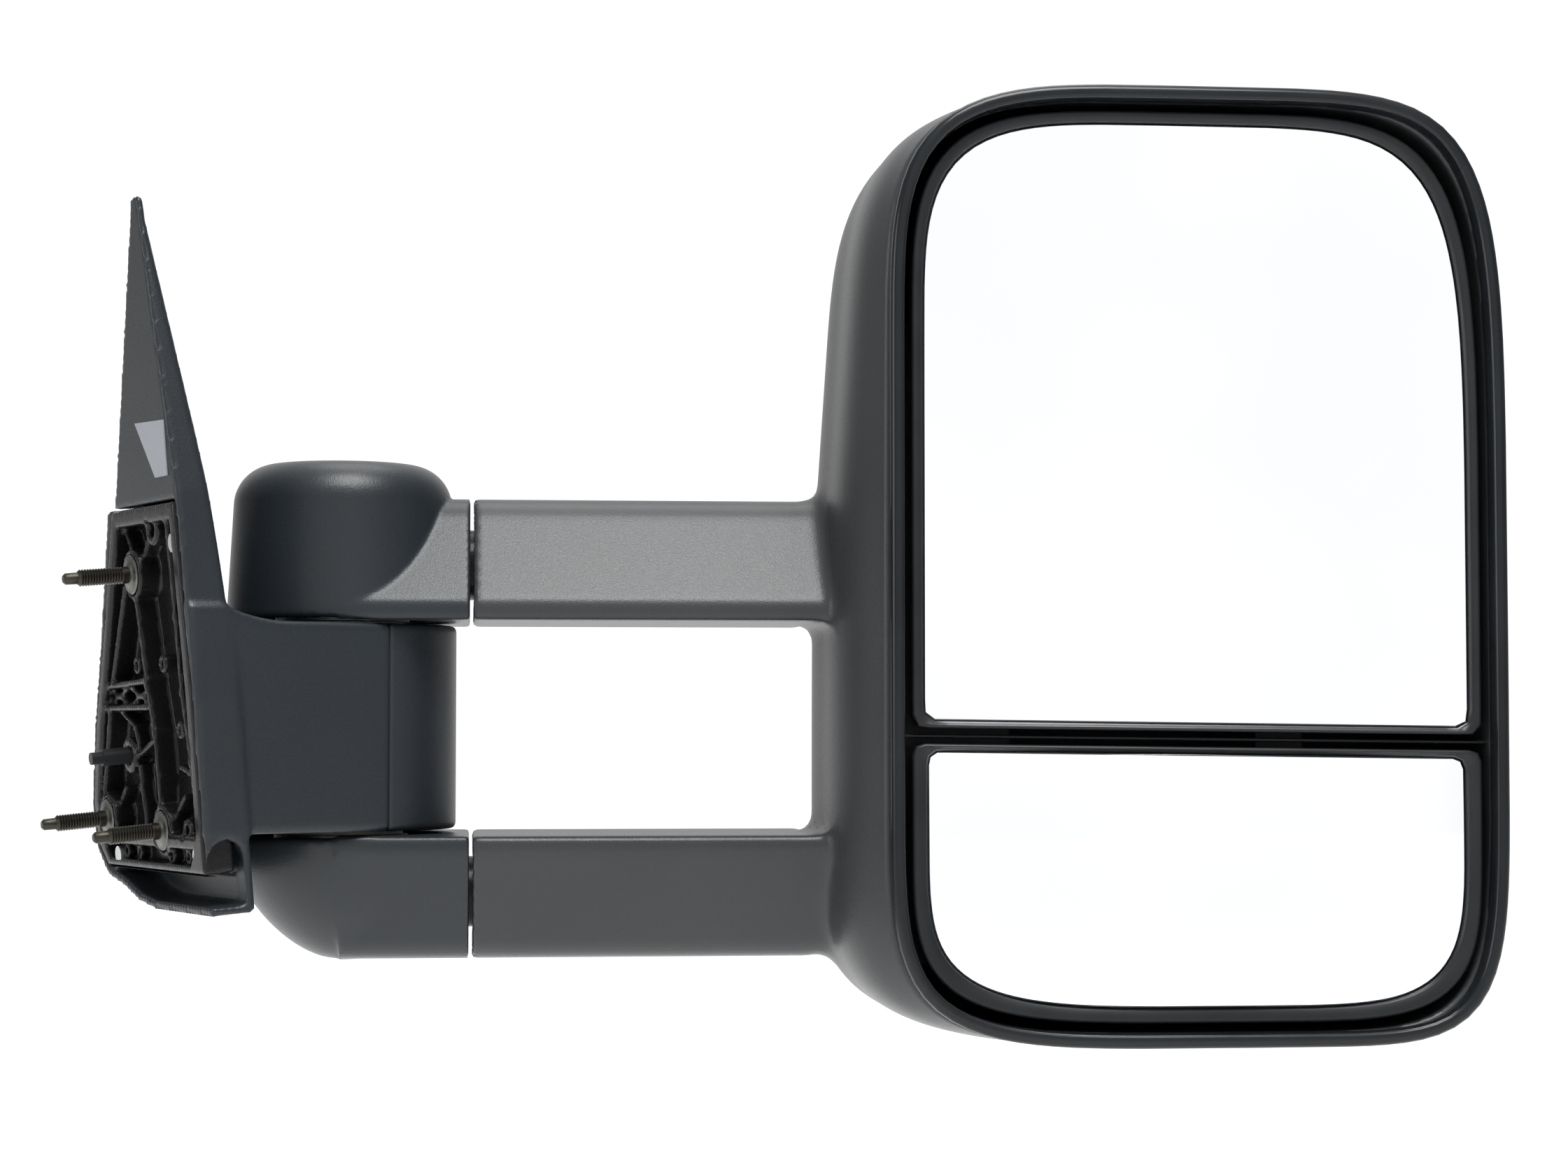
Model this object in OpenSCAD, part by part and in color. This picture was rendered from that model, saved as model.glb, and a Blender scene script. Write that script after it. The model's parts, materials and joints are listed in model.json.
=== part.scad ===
// Towing mirror for a pickup truck's right-hand door: a triangular sail mount, a fold pivot,
// two telescoping arms and a tall head with a flat upper glass and a convex lower one.
// Frame: origin at the centre of the door face, +X outboard along the arms, +Y to the
// vehicle's front, +Z up along the fold pivot. The modules are drawn about the fold pivot.

/* [Head] */
// Width of the head across its rim
head_w = 218.2; // [205:0.1:230]
// Height of the head
head_h = 335; // [325:0.1:345]
// Height of the head's top above the mid-plane between the arms
head_top = 224.4; // [218:0.1:232]
// Distance from the fold pivot to the rim's inboard edge
head_reach = 189.8; // [186:0.1:196]
// Place of the rim's front edge along Y, from the pivot axis
rim_front = -78; // [-80:0.5:-76]
// Place of the shell's deepest point along Y, from the pivot axis
shell_back = 35; // [34:0.5:40]
// Thickness of the moulded walls
wall = 2.8; // [2.4:0.1:3]

/* [Glass] */
// Thickness of the mirror glass
glass_t = 2.2; // [2:0.1:2.4]
// Radius of the convex glass
convex_r = 1200; // [1000:50:1600]
// Width of the lip round the upper glass
lip_w = 4; // [3.5:0.1:5]
// Width of the lip round the lower glass
lower_lip_w = 5.4; // [4:0.1:7]
// Gap between the rim and the glass carriers, measured from the rim's outside
carrier_inset = 8.2; // [8:0.1:9]
// Height of the divider's middle at its inboard end
divider_z = -2.7; // [-4:0.1:-2]
// Fall of the divider from its inboard end to its outboard end
divider_fall = 2.4; // [0:0.1:3]

/* [Arms] */
// Half the gap between the two arms
arm_gap = 37.8; // [37.5:0.1:39]
// Height of each arm
arm_h = 44.7; // [42:0.1:46]
// Half the width of an arm on the side that faces the other arm
arm_half_in = 41; // [40:0.5:42]
// Half the width of an arm on its outer side
arm_half_out = 16; // [12:0.5:18]
// Height of the upright band along the edges of an arm that face the other arm
arm_band = 6.4; // [4:0.1:8]
// Place along X where the inboard arm stubs end
stub_end = 45.8; // [43:0.1:47]
// Gap between the stubs and the sleeves when the arms are pushed in
sleeve_gap = 0.9; // [0.6:0.1:3]
// Radius of the telescoping tubes
tube_r = 12.7; // [11:0.1:13]
// Place along X of the tubes' outboard ends
tube_end = 325; // [320:1:335]

/* [Pivot] */
// Radius of the base barrel
barrel_r = 41; // [40:0.5:42]
// Top of the base barrel, from the mid-plane
base_top = 36.8; // [36:0.1:37]
// Bottom of the base barrel, from the mid-plane
base_bottom = -36.2; // [-36.5:0.1:-35.5]
// Height of the domed cap's top
cap_top = 94.8; // [92:0.1:102]
// Radius of the fold pivot's shaft
shaft_r = 12; // [10:0.5:13]

/* [Mount] */
// Angle from the arms to the door face's square direction
sweep = 24.5; // [20:0.5:28]
// Lean of the door face towards the vehicle at its top
lean = 5; // [3:0.5:7]
// Distance from the pivot axis to the door face
mount_reach = 72.5; // [70:0.5:78]
// Rear edge of the mount, along the door from the pivot
mount_rear = -48.5; // [-50:0.5:-47]
// Front edge of the mount, along the door from the pivot
mount_front = 70.5; // [69:0.5:74]
// Bottom of the cast bracket, up the door face
bracket_low = -50; // [-52:0.5:-48]
// Top of the cast bracket, up the door face
bracket_high = 77; // [75:0.5:80]
// Height of the sail's tip
sail_tip = 183; // [178:1:188]
// Radius of the mounting studs
stud_r = 3; // [2.5:0.5:4]
// Length of the studs that stands out of the door face
stud_len = 24; // [22:1:30]

/* [Hidden] */
// Depth of the cast bracket off the door, and the skin left at the bottom of its pockets
bracket_t = 11;
pocket_skin = 2.5;
sail_root = 30.5;
sail_t = 16.5;
seam_at = 0.8;
flange_r = 7;
flange_t = 2.2;
plug_at = [29.5, -10];
plug_r = 3;
plug_depth = 7.4;
screw_points = [[-37, 63], [-38, -44], [44, -46]];
screw_len = 12;
sail_taper = 5.9;
casting_low = arm_gap + 0.4;
casting_top = 52;
spring_h = 14;
cap_r = 41.5;
seat_y = -66.4;
skirt_back = -50;
cut_lip = 2.4;
divider_half = 0.65;
half_gap = 2.7;
cut_r = 4;
boss_points = [[232, -28], [334, -28], [232, 146], [334, 146]];
frame_windows = [[222, 30, 336, 68], [238, -20, 328, 12], [222, -74, 336, -40]];
frame_corners = [[187, -84, 12], [345, -84, 12], [345, 160, 12], [215, 160, 12], [187, 128, 12]];
// Pockets in the door side of the bracket: rear, front, low and high edges
bracket_pockets = [
    [-40, -25, -28, 56], [-20, -4, 2, 62], [8, 22, 2, 40],
    [-20, -4, -22, -2], [36, 50, -20, 2], [12, 38, -46, -24]
];
arc_steps = 5;
corner_steps = 9;
gap = 0.3;
run_fit = 0.06;
head_low = head_top - head_h;
head_right = head_reach + head_w;
tube_z = 59;
glass_y = -68;
carrier_front = -71;
carrier_back = -63;
gimbal_y = -56;
gimbal_x = head_reach + 0.5 * head_w;
upper_z = 109;
lower_z = -53;
ring_r = 14.5;
gimbal_pin_r = 1.5;
frame_y = -30;
frame_t = 3;
block_x = 193;
block_w = 20;
bush_r = 15.5;
hub_half = 34.9;
hub_r = 27;
cover_bore = 24;
skirt_low = -64;
face_gap = 0.5;
tip_v = -25;
studs = [[8, 54], [-4, -36], [54, -33]];
// Shell sections from the rim to the back: Y, then inboard, outboard, bottom and top edges,
// then how fast the upper inboard wall leans in
shell = [
    [rim_front + 8, head_reach - 1, head_right, head_low, head_top, 0],
    [-55, head_reach - 11, head_right, head_low, head_top, 0.04],
    [-25, head_reach - 18, head_right - 2, head_low + 1, head_top, 0.075],
    [2, head_reach - 19, head_right - 8, head_low + 5, head_top - 6, 0.075],
    [22, head_reach - 11, head_right - 22, head_low + 16, head_top - 20, 0.075],
    [shell_back, head_reach + 13, head_right - 50, head_low + 42, head_top - 48, 0.075]
];
lean_from = 60;

// One superelliptic corner: centre, half-widths and exponent, drawn over quadrant q
function corner(c, q, inset) = [
    for (i = [0 : corner_steps])
        let (
            t = 90 * (q + i / corner_steps),
            x = pow(abs(cos(t)), 2 / c[4]) * (c[2] - inset),
            z = pow(abs(sin(t)), 2 / c[4]) * (c[3] - inset)
        ) [c[0] + (q == 0 || q == 3 ? x : -x), c[1] + (q < 2 ? z : -z)]
];

function outline(cs, inset = 0) = [for (q = [0 : 3]) each corner(cs[q], q, inset)];

// The head's four corners between its inboard, outboard, bottom and top edges
function head_corners(l, r, b, t) = let (w = r - l, h = t - b) [
    [l + 0.443 * w, b + 0.405 * h, 0.557 * w, 0.595 * h, 5.8],
    [l + 0.443 * w, b + 0.727 * h, 0.443 * w, 0.273 * h, 3.75],
    [l + 0.583 * w, b + 0.302 * h, 0.583 * w, 0.302 * h, 5],
    [l + 0.583 * w, b + 0.363 * h, 0.417 * w, 0.363 * h, 5.4]
];

rim = head_corners(head_reach, head_right, head_low, head_top);

// Corners of the upper and lower carriers; cut is the width of the lip along the divider
function upper_corners(inset, cut) = let (
    l = head_reach + inset + cut_r,
    r = head_right - inset - cut_r,
    z = divider_z + half_gap + cut + cut_r
) [
    [rim[0][0], rim[0][1], rim[0][2] - inset, rim[0][3] - inset, 5.8],
    [rim[1][0], rim[1][1], rim[1][2] - inset, rim[1][3] - inset, 4],
    [l, z, cut_r, cut_r, 2],
    [r, z - divider_fall, cut_r, cut_r, 2]
];

function lower_corners(inset, cut) = let (
    l = head_reach + inset + cut_r,
    r = head_right - inset - cut_r,
    z = divider_z - half_gap - cut - cut_r
) [
    [r, z - divider_fall, cut_r, cut_r, 2],
    [l, z, cut_r, cut_r, 2],
    [rim[2][0], -30, rim[2][2] - inset, -30 - head_low - inset, 4.7],
    [rim[3][0], -30, rim[3][2] - inset, -30 - head_low - inset, 4.4]
];

function unit(v) = v / norm(v);

// Points of an arc of radius r that rounds corner b between a and c
function fillet(a, b, c, r) = let (
    u = unit(a - b),
    w = unit(c - b),
    half = acos(u * w) / 2,
    o = b + unit(u + w) * r / sin(half),
    p = b + u * r / tan(half) - o,
    q = b + w * r / tan(half) - o,
    from = atan2(p.y, p.x),
    turn = (atan2(q.y, q.x) - from + 540) % 360 - 180
) [for (i = [0 : arc_steps]) o + r * [cos(from + turn * i / arc_steps), sin(from + turn * i / arc_steps)]];

// A polygon whose points carry their own corner radius as a third value
function rounded(ps) = [
    for (i = [0 : len(ps) - 1])
        let (n = len(ps), a = ps[(i + n - 1) % n], b = ps[i], c = ps[(i + 1) % n])
            each fillet([a.x, a.y], [b.x, b.y], [c.x, c.y], b.z)
];

// Section of an arm drawn inwards by d: an upright band at each edge, then a slope to the top
function arm_points(d) = let (band = arm_gap + max(arm_band, d + 4.4)) rounded([
    [-arm_half_in + d, arm_gap + d, 2],
    [arm_half_in - d, arm_gap + d, 2],
    [arm_half_in - d, band, 3],
    [arm_half_out - d / 2, arm_gap + arm_h - d, 5],
    [-arm_half_out + d / 2, arm_gap + arm_h - d, 5],
    [-arm_half_in + d, band, 3]
]);

// The fold pivot's place in the part's own frame, whose origin is the door face's centre
face_v = 15;
face_w = 12;
face_x = -mount_reach - face_w * sin(lean);
pivot_x = face_v * sin(sweep) - face_x * cos(sweep);
pivot_y = -face_x * sin(sweep) - face_v * cos(sweep);
pivot_z = -face_w * cos(lean);

module about_pivot() {
    translate([pivot_x, pivot_y, pivot_z]) children();
}

// Frame of the door face: X off the door, Y along it to the front, Z up it
module on_door() {
    about_pivot() rotate([0, 0, sweep]) translate([-mount_reach, 0, 0]) rotate([0, -lean, 0]) children();
}

module along_x(from, to) {
    translate([from, 0, 0]) rotate([90, 0, 90]) linear_extrude(to - from) children();
}

module along_y(from, to) {
    translate([0, to, 0]) rotate([90, 0, 0]) linear_extrude(to - from) children();
}

module block(low, high) {
    translate(low) cube(high - low);
}

module rod_x(r, from, to, z = 0, y = 0) {
    translate([from, y, z]) rotate([0, 90, 0]) cylinder(r = r, h = to - from, $fn = 48);
}

module rod_z(r, from, to) {
    translate([0, 0, from]) cylinder(r = r, h = to - from, $fn = 72);
}

module each_arm() {
    for (side = [0, 1]) mirror([0, 0, side]) children();
}

// Side view of the sail along the door, from its bottom rear corner round by the front
module sail_outline() {
    polygon([
        [mount_rear, skirt_low], [10, skirt_low], [26, skirt_low + 2], [42, bracket_low - 7],
        [58, bracket_low - 4], [mount_front - 1.5, -44], [mount_front, -28], [61, 1], [45, 36],
        [29, bracket_high], [20.5, bracket_high + 1], [tip_v + 4, sail_tip], [tip_v - 2, sail_tip],
        [mount_rear + 4, 80], [mount_rear, 10]
    ]);
}

// Plan of the base block: a flat rear face that runs into the barrel, and a tapering front
module base_plan(d = 0) {
    circle(r = barrel_r - d, $fn = 96);
    polygon([
        [-mount_reach - 10, mount_rear + d], [4, -barrel_r + d], [4, barrel_r - d],
        [-mount_reach - 10, barrel_r + 1 - d]
    ]);
}

// The sail's outer face leans out faster than the door face, so it thickens towards the base
module sail_body() {
    on_door() difference() {
        along_x(face_gap, sail_t) sail_outline();
        translate([sail_root, mount_rear - 20, -90]) rotate([0, -sail_taper, 0]) cube([90, 180, 330]);
    }
}

module base_solid() {
    sail_body();
    about_pivot() intersection() {
        rotate([0, 0, sweep]) translate([0, 0, base_bottom])
            linear_extrude(base_top - base_bottom) base_plan();
        rotate([0, 0, sweep]) translate([-mount_reach, 0, 0]) rotate([0, -lean, 0])
            translate([face_gap, -80, -100]) cube([200, 200, 300]);
    }
}

// Everything outboard of the moulding seam on the barrel
module beyond_seam() {
    about_pivot() rotate([0, 0, sweep]) translate([seam_at, -80, -60]) cube([120, 160, 140]);
}

// The bracket's plate against the door, grown by d; its front edge slants back to the top
module bracket_plate(from, to, d = 0) {
    rear = mount_rear + 3 - d;
    front = mount_front - 3.5 + d;
    along_x(from, to) polygon([
        [rear, bracket_low - d], [front - 11, bracket_low - d], [front - 2, -42 - d], [front, -28],
        [front - 9, 0], [front - 26, 35], [front - 44, bracket_high + d],
        [rear + 4, bracket_high + d], [rear, 10]
    ]);
}

// The neck between the bracket's plate and its hub, grown by d
module bracket_neck(start, d = 0) {
    about_pivot() rotate([0, 0, sweep])
        block([-mount_reach + start, -22 - d, -26 - d], [-hub_r + 4, 22 + d, 30 + d]);
}

module mount_bracket() {
    color([0.03, 0.03, 0.035]) difference() {
        union() {
            on_door() bracket_plate(0, bracket_t);
            bracket_neck(6);
            about_pivot() rod_z(hub_r, -hub_half, hub_half);
        }
        about_pivot() rod_z(bush_r, -hub_half - 1, hub_half + 1);
        on_door() for (p = bracket_pockets)
            block([-1, p[0], p[2]], [bracket_t - pocket_skin, p[1], p[3]]);
        door_holes(1.9);
    }
}

module base_cover() {
    color([0.2, 0.22, 0.235]) difference() {
        base_solid();
        beyond_seam();
        about_pivot() rotate([0, 0, sweep]) intersection() {
            translate([0, 0, -hub_half - 0.1]) linear_extrude(2 * hub_half + 0.2) base_plan(wall);
            block([-mount_reach + 14, -80, -50], [60, 80, 50]);
        }
        about_pivot() rod_z(cover_bore, -60, 60);
        on_door() bracket_plate(-1, bracket_t + 0.5, 0.5);
        bracket_neck(5, 0.5);
        on_door() for (p = screw_points) translate([-1, p[0], p[1]]) rotate([0, 90, 0])
            cylinder(r = 1.6, h = screw_len + 2, $fn = 36);
    }
}

module barrel_cover() {
    color([0.2, 0.22, 0.235]) difference() {
        about_pivot() rod_z(barrel_r, base_bottom, base_top);
        about_pivot() rod_z(barrel_r - wall, -hub_half - 0.1, hub_half + 0.1);
        about_pivot() rod_z(cover_bore, -60, 60);
        about_pivot() rotate([0, 0, sweep]) block([-120, -80, -60], [seam_at + 0.2, 80, 60]);
    }
}

// Each stud is a smooth shank with a dog point, and its flange sits in the bracket's face
module mount_studs() {
    color([0.16, 0.16, 0.13]) on_door() for (s = studs) translate([0, s[0], s[1]]) rotate([0, -90, 0]) {
        translate([0, 0, -flange_t]) cylinder(r = flange_r, h = flange_t - 0.2, $fn = 48);
        translate([0, 0, -1]) cylinder(r = stud_r, h = stud_len - 4, $fn = 48);
        translate([0, 0, stud_len - 6]) cylinder(r = stud_r - 1, h = 6, $fn = 48);
    }
}

module locator_plug() {
    color([0.05, 0.05, 0.055]) on_door() translate([0, plug_at[0], plug_at[1]]) rotate([0, -90, 0]) {
        translate([0, 0, -plug_depth]) cylinder(r = plug_r, h = plug_depth + 8, $fn = 36);
        cylinder(r = plug_r - 0.8, h = 12, $fn = 36);
    }
}

// Blank film on the door side of the sail, above the bracket
module label_plate() {
    color([0.72, 0.73, 0.75]) on_door() along_x(0, 0.5)
        polygon([[-38, 86], [-26, 86], [-9, 106], [-38, 105]]);
}

// Screws that pull the cover onto the bracket, sunk into the door side
module cover_screws() {
    color([0.5, 0.5, 0.5]) on_door() for (p = screw_points) translate([0, p[0], p[1]]) rotate([0, 90, 0]) {
        translate([0, 0, 0.2]) cylinder(r = 3.2, h = 2, $fn = 36);
        translate([0, 0, 1]) cylinder(r = 1.6, h = screw_len, $fn = 36);
    }
}

// Holes for the studs, plug and screws, cut from the door side
module door_holes(screw_r) {
    on_door() {
        for (s = studs) translate([-1, s[0], s[1]]) rotate([0, 90, 0])
            cylinder(r = flange_r + 0.1, h = flange_t + 1, $fn = 48);
        translate([-1, plug_at[0], plug_at[1]]) rotate([0, 90, 0])
            cylinder(r = plug_r + 0.05, h = plug_depth + 1, $fn = 36);
        for (p = screw_points) translate([-1, p[0], p[1]]) rotate([0, 90, 0]) {
            cylinder(r = 3.3, h = 3.2, $fn = 36);
            cylinder(r = screw_r, h = screw_len + 2, $fn = 36);
        }
    }
}

// Flanged bush of the fold pivot, drawn for the top of the hub
module pivot_bush() {
    difference() {
        union() {
            rod_z(bush_r, hub_half - 18, hub_half + 1);
            rod_z(22, hub_half, arm_gap + 0.1);
        }
        rod_z(shaft_r + run_fit, 0, 60);
    }
}

module upper_pivot_bush() {
    color([0.85, 0.83, 0.75]) about_pivot() pivot_bush();
}

module lower_pivot_bush() {
    color([0.85, 0.83, 0.75]) about_pivot() mirror([0, 0, 1]) pivot_bush();
}

module pivot_shaft() {
    color([0.6, 0.61, 0.62]) about_pivot() difference() {
        union() {
            rod_z(shaft_r, -casting_top - 1, 80);
            rod_z(18, -casting_top - 5, -casting_top);
        }
        rod_z(shaft_r - 4, -80, 90);
    }
}

// Casting that joins the pivot shaft to one telescoping tube, drawn for the upper arm
module arm_casting() {
    difference() {
        union() {
            rod_z(24, casting_low, casting_top);
            block([0, -15, casting_low + 4], [30, 15, casting_top]);
            block([22, -16, tube_z - 15], [stub_end - wall - 0.4, 16, tube_z + 15]);
        }
        rod_z(shaft_r, 0, 100);
        rod_x(tube_r, 26, 50, tube_z);
    }
}

module upper_arm_casting() {
    color([0.45, 0.46, 0.48]) about_pivot() arm_casting();
}

module lower_arm_casting() {
    color([0.45, 0.46, 0.48]) about_pivot() mirror([0, 0, 1]) arm_casting();
}

// Side profile of the domed cap, as radius and height, drawn inwards by d
module dome_profile(d) {
    r = cap_r - d;
    top = cap_top - d;
    round_r = 15 - d;
    polygon([
        [0, arm_gap + 0.5], [r, arm_gap + 0.5],
        for (i = [0 : 6]) [r - 2 - round_r + round_r * cos(15 * i), top - round_r + round_r * sin(15 * i)],
        [0, top]
    ]);
}

module pivot_cap() {
    color([0.2, 0.22, 0.235]) about_pivot() difference() {
        union() {
            rotate_extrude($fn = 96) dome_profile(0);
            along_x(0, stub_end) polygon(arm_points(0));
        }
        translate([0, 0, -1]) rotate_extrude($fn = 96) dome_profile(wall);
        along_x(0, stub_end - wall) polygon(arm_points(wall));
        rod_x(tube_r + gap, 30, 60, tube_z);
    }
}

// Side profile of the lower arm's bowl-shaped end, as radius and height below the mid-plane
module bowl_profile(d) {
    r = barrel_r - d;
    a = r - 3;
    b = arm_h - 0.6 - d;
    polygon([
        [0, arm_gap + 0.6], [r, arm_gap + 0.6],
        for (i = [1 : 11]) [3 + a * pow(cos(7.5 * i), 1.25), arm_gap + 0.6 + b * pow(sin(7.5 * i), 1.25)],
        [3, arm_gap + 0.6 + b], [0, arm_gap + 0.6 + b]
    ]);
}

module lower_arm_cover() {
    color([0.18, 0.2, 0.215]) about_pivot() mirror([0, 0, 1]) difference() {
        union() {
            rotate_extrude($fn = 96) bowl_profile(0);
            along_x(0, stub_end) polygon(arm_points(0));
        }
        rotate_extrude($fn = 96) bowl_profile(wall);
        rod_z(barrel_r - wall, arm_gap - 1, arm_gap + 1);
        along_x(0, stub_end - wall) polygon(arm_points(wall));
        rod_x(tube_r + gap, 30, 60, tube_z);
    }
}

module arm_tube() {
    difference() {
        rod_x(tube_r, 26, tube_end, tube_z);
        rod_x(tube_r - 2, 24, tube_end + 1, tube_z);
    }
}

module upper_arm_tube() {
    color([0.08, 0.08, 0.085]) about_pivot() arm_tube();
}

module lower_arm_tube() {
    color([0.08, 0.08, 0.085]) about_pivot() mirror([0, 0, 1]) arm_tube();
}

// Roll pins that hold the tubes in their castings
module tube_pins() {
    color([0.5, 0.5, 0.5]) about_pivot() each_arm()
        translate([34, -15.5, tube_z]) rotate([-90, 0, 0]) cylinder(r = 2, h = 31, $fn = 36);
}

// End stops inside the head that keep the head on its tubes
module tube_stops() {
    color([0.05, 0.05, 0.055]) about_pivot() each_arm() {
        rod_x(tube_r + 2.5, tube_end, tube_end + 4, tube_z);
        rod_x(tube_r - 2.2, tube_end - 8, tube_end + 1, tube_z);
    }
}

// Point of the spring's wire: coil radius, angle and height in c, then the wire's angle and radius
function ring_point(c, a, w) = [
    (c[0] + w * cos(a)) * cos(c[1]), (c[0] + w * cos(a)) * sin(c[1]), c[2] + w * sin(a)
];

// Compression spring round the shaft that loads the fold pivot
module detent_spring() {
    turns = 4;
    rings = 14 * turns;
    sides = 6;
    wire_r = 1.9;
    low = casting_top + 2 + wire_r;
    rise = spring_h - 2 * wire_r;
    points = [
        for (i = [0 : rings], k = [0 : sides - 1])
            ring_point([17.2, 360 * turns * i / rings, low + rise * i / rings], 360 * k / sides, wire_r)
    ];
    sheath = [
        for (i = [0 : rings - 1], k = [0 : sides - 1])
            let (n = (k + 1) % sides, a = i * sides, b = a + sides)
                each [[a + k, b + n, b + k], [a + k, a + n, b + n]]
    ];
    color([0.55, 0.56, 0.58]) about_pivot() polyhedron(
        points = points,
        faces = [
            [for (k = [0 : sides - 1]) k],
            each sheath,
            [for (k = [0 : sides - 1]) rings * sides + sides - 1 - k]
        ]
    );
}

module spring_washers() {
    color([0.62, 0.63, 0.64]) about_pivot() for (z = [casting_top, casting_top + 2 + spring_h])
        difference() {
            rod_z(20.5, z, z + 2);
            rod_z(shaft_r + 0.1, z - 1, z + 3);
        }
}

module pivot_nut() {
    color([0.55, 0.55, 0.56]) about_pivot() translate([0, 0, casting_top + 4 + spring_h]) difference() {
        cylinder(r = 19, h = 8, $fn = 6);
        translate([0, 0, -1]) cylinder(r = shaft_r, h = 10, $fn = 72);
    }
}

// Points moved outboard above lean_from, most at the inboard edge l and not at all past mid
function lean_in(ps, k, l, mid) = [
    for (p = ps) [p.x + k * max(p.y - lean_from, 0) * max(0, min(1, (mid - p.x) / (mid - l))), p.y]
];

// One thin section of the head's shell, drawn inwards by d
module shell_slice(s, d) {
    along_y(s[0], s[0] + 0.05) polygon(lean_in(
        outline(head_corners(s[1] + d, s[2] - d, s[3] + d, s[4] - d)), s[5], s[1], (s[1] + s[2]) / 2
    ));
}

module shell_solid(d = 0, shift = 0) {
    hull() for (i = [0 : len(shell) - 1])
        translate([0, i == 0 ? 0 : -shift, 0]) shell_slice(shell[i], d);
}

// The end of a sleeve narrows as it runs into the shell
module sleeve_root() {
    hull() {
        along_x(150, 151) polygon(arm_points(0));
        along_x(214, 215) polygon(arm_points(9));
    }
}

module head_housing() {
    color([0.19, 0.2, 0.2]) about_pivot() difference() {
        union() {
            shell_solid();
            each_arm() along_x(stub_end + sleeve_gap, 160) polygon(arm_points(0));
            each_arm() sleeve_root();
        }
        difference() {
            shell_solid(wall, wall);
            for (p = boss_points) translate([p[0], 60, p[1]]) rotate([90, 0, 0])
                cylinder(r = 5, h = 60 - frame_y, $fn = 36);
        }
        along_y(rim_front - 4, shell[0][0] + 0.1) polygon(outline(rim, wall));
        each_arm() along_x(stub_end, 172) polygon(arm_points(wall));
        each_arm() rod_x(tube_r + 3, 150, 220, tube_z);
        for (p = boss_points) translate([p[0], -20, p[1]]) rotate([90, 0, 0])
            cylinder(r = 2, h = 40, $fn = 36);
    }
}

module bezel() {
    color([0.02, 0.02, 0.022]) about_pivot() {
        difference() {
            union() {
                along_y(rim_front, shell[0][0]) polygon(outline(rim));
                along_y(shell[0][0] - 1, skirt_back) polygon(outline(rim, wall + gap + 0.6));
            }
            along_y(rim_front - 1, skirt_back + 1) polygon(outline(rim, 5));
        }
        divider();
    }
}

// The thin rib between the two glass carriers
module divider() {
    l = head_reach + 4.5;
    r = head_right - 4.5;
    low = divider_z - divider_half;
    high = divider_z + divider_half;
    along_y(skirt_back - 16, skirt_back)
        polygon([[l, low], [r, low - divider_fall], [r, high - divider_fall], [l, high]]);
}

module head_frame() {
    color([0.1, 0.1, 0.11]) about_pivot() difference() {
        union() {
            along_y(frame_y - frame_t, frame_y) polygon(rounded(frame_corners));
            each_arm() block([block_x, frame_y - 1, tube_z - 19], [block_x + block_w, 17, tube_z + 19]);
        }
        along_y(frame_y - 5, frame_y + 5) for (w = frame_windows)
            polygon(rounded([[w[0], w[1], 5], [w[2], w[1], 5], [w[2], w[3], 5], [w[0], w[3], 5]]));
        each_arm() rod_x(bush_r, block_x - 1, block_x + block_w + 1, tube_z);
        for (p = boss_points) translate([p[0], frame_y + 1, p[1]]) rotate([90, 0, 0])
            cylinder(r = 2.3, h = 6, $fn = 36);
    }
}

module frame_screws() {
    color([0.6, 0.6, 0.6]) about_pivot() for (p = boss_points)
        translate([p[0], frame_y - frame_t, p[1]]) rotate([90, 0, 0]) {
            cylinder(r = 4.2, h = 2.6, $fn = 36);
            translate([0, 0, -13]) cylinder(r = 2, h = 13.5, $fn = 36);
        }
}

module mouth_bushes() {
    color([0.05, 0.05, 0.055]) about_pivot() each_arm() difference() {
        along_x(stub_end + sleeve_gap + 1, stub_end + sleeve_gap + 13) polygon(arm_points(wall + 0.05));
        rod_x(tube_r + run_fit, 0, 100, tube_z);
    }
}

module frame_bushes() {
    color([0.85, 0.83, 0.75]) about_pivot() each_arm() difference() {
        rod_x(bush_r, block_x, block_x + block_w, tube_z);
        rod_x(tube_r + run_fit, block_x - 1, block_x + block_w + 1, tube_z);
    }
}

// Split spring rings that grip the tubes beside the frame's blocks
module friction_clips() {
    color([0.6, 0.61, 0.62]) about_pivot() each_arm() difference() {
        rod_x(tube_r + 2.4, block_x + block_w + 0.5, block_x + block_w + 5, tube_z);
        rod_x(tube_r + run_fit, block_x + block_w, block_x + block_w + 6, tube_z);
        block([block_x + block_w, -2, tube_z], [block_x + block_w + 6, 2, tube_z + 20]);
    }
}

// Bracket on the frame whose two ears hold a gimbal ring's upright pins
module adjuster_base(z) {
    translate([gimbal_x, 0, z]) difference() {
        union() {
            along_y(frame_y - frame_t - 3.5, frame_y - frame_t) polygon(rounded([
                [-26, -28, 5], [26, -28, 5], [26, 28, 5], [-26, 28, 5]
            ]));
            for (s = [-1, 1]) block([-4, gimbal_y - 3, s * 18.5 - 2.5], [4, frame_y - frame_t - 3, s * 18.5 + 2.5]);
        }
        translate([0, gimbal_y, -24]) cylinder(r = gimbal_pin_r + run_fit, h = 48, $fn = 36);
    }
}

module upper_adjuster_base() {
    color([0.12, 0.12, 0.13]) about_pivot() adjuster_base(upper_z);
}

module lower_adjuster_base() {
    color([0.12, 0.12, 0.13]) about_pivot() adjuster_base(lower_z);
}

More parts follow.
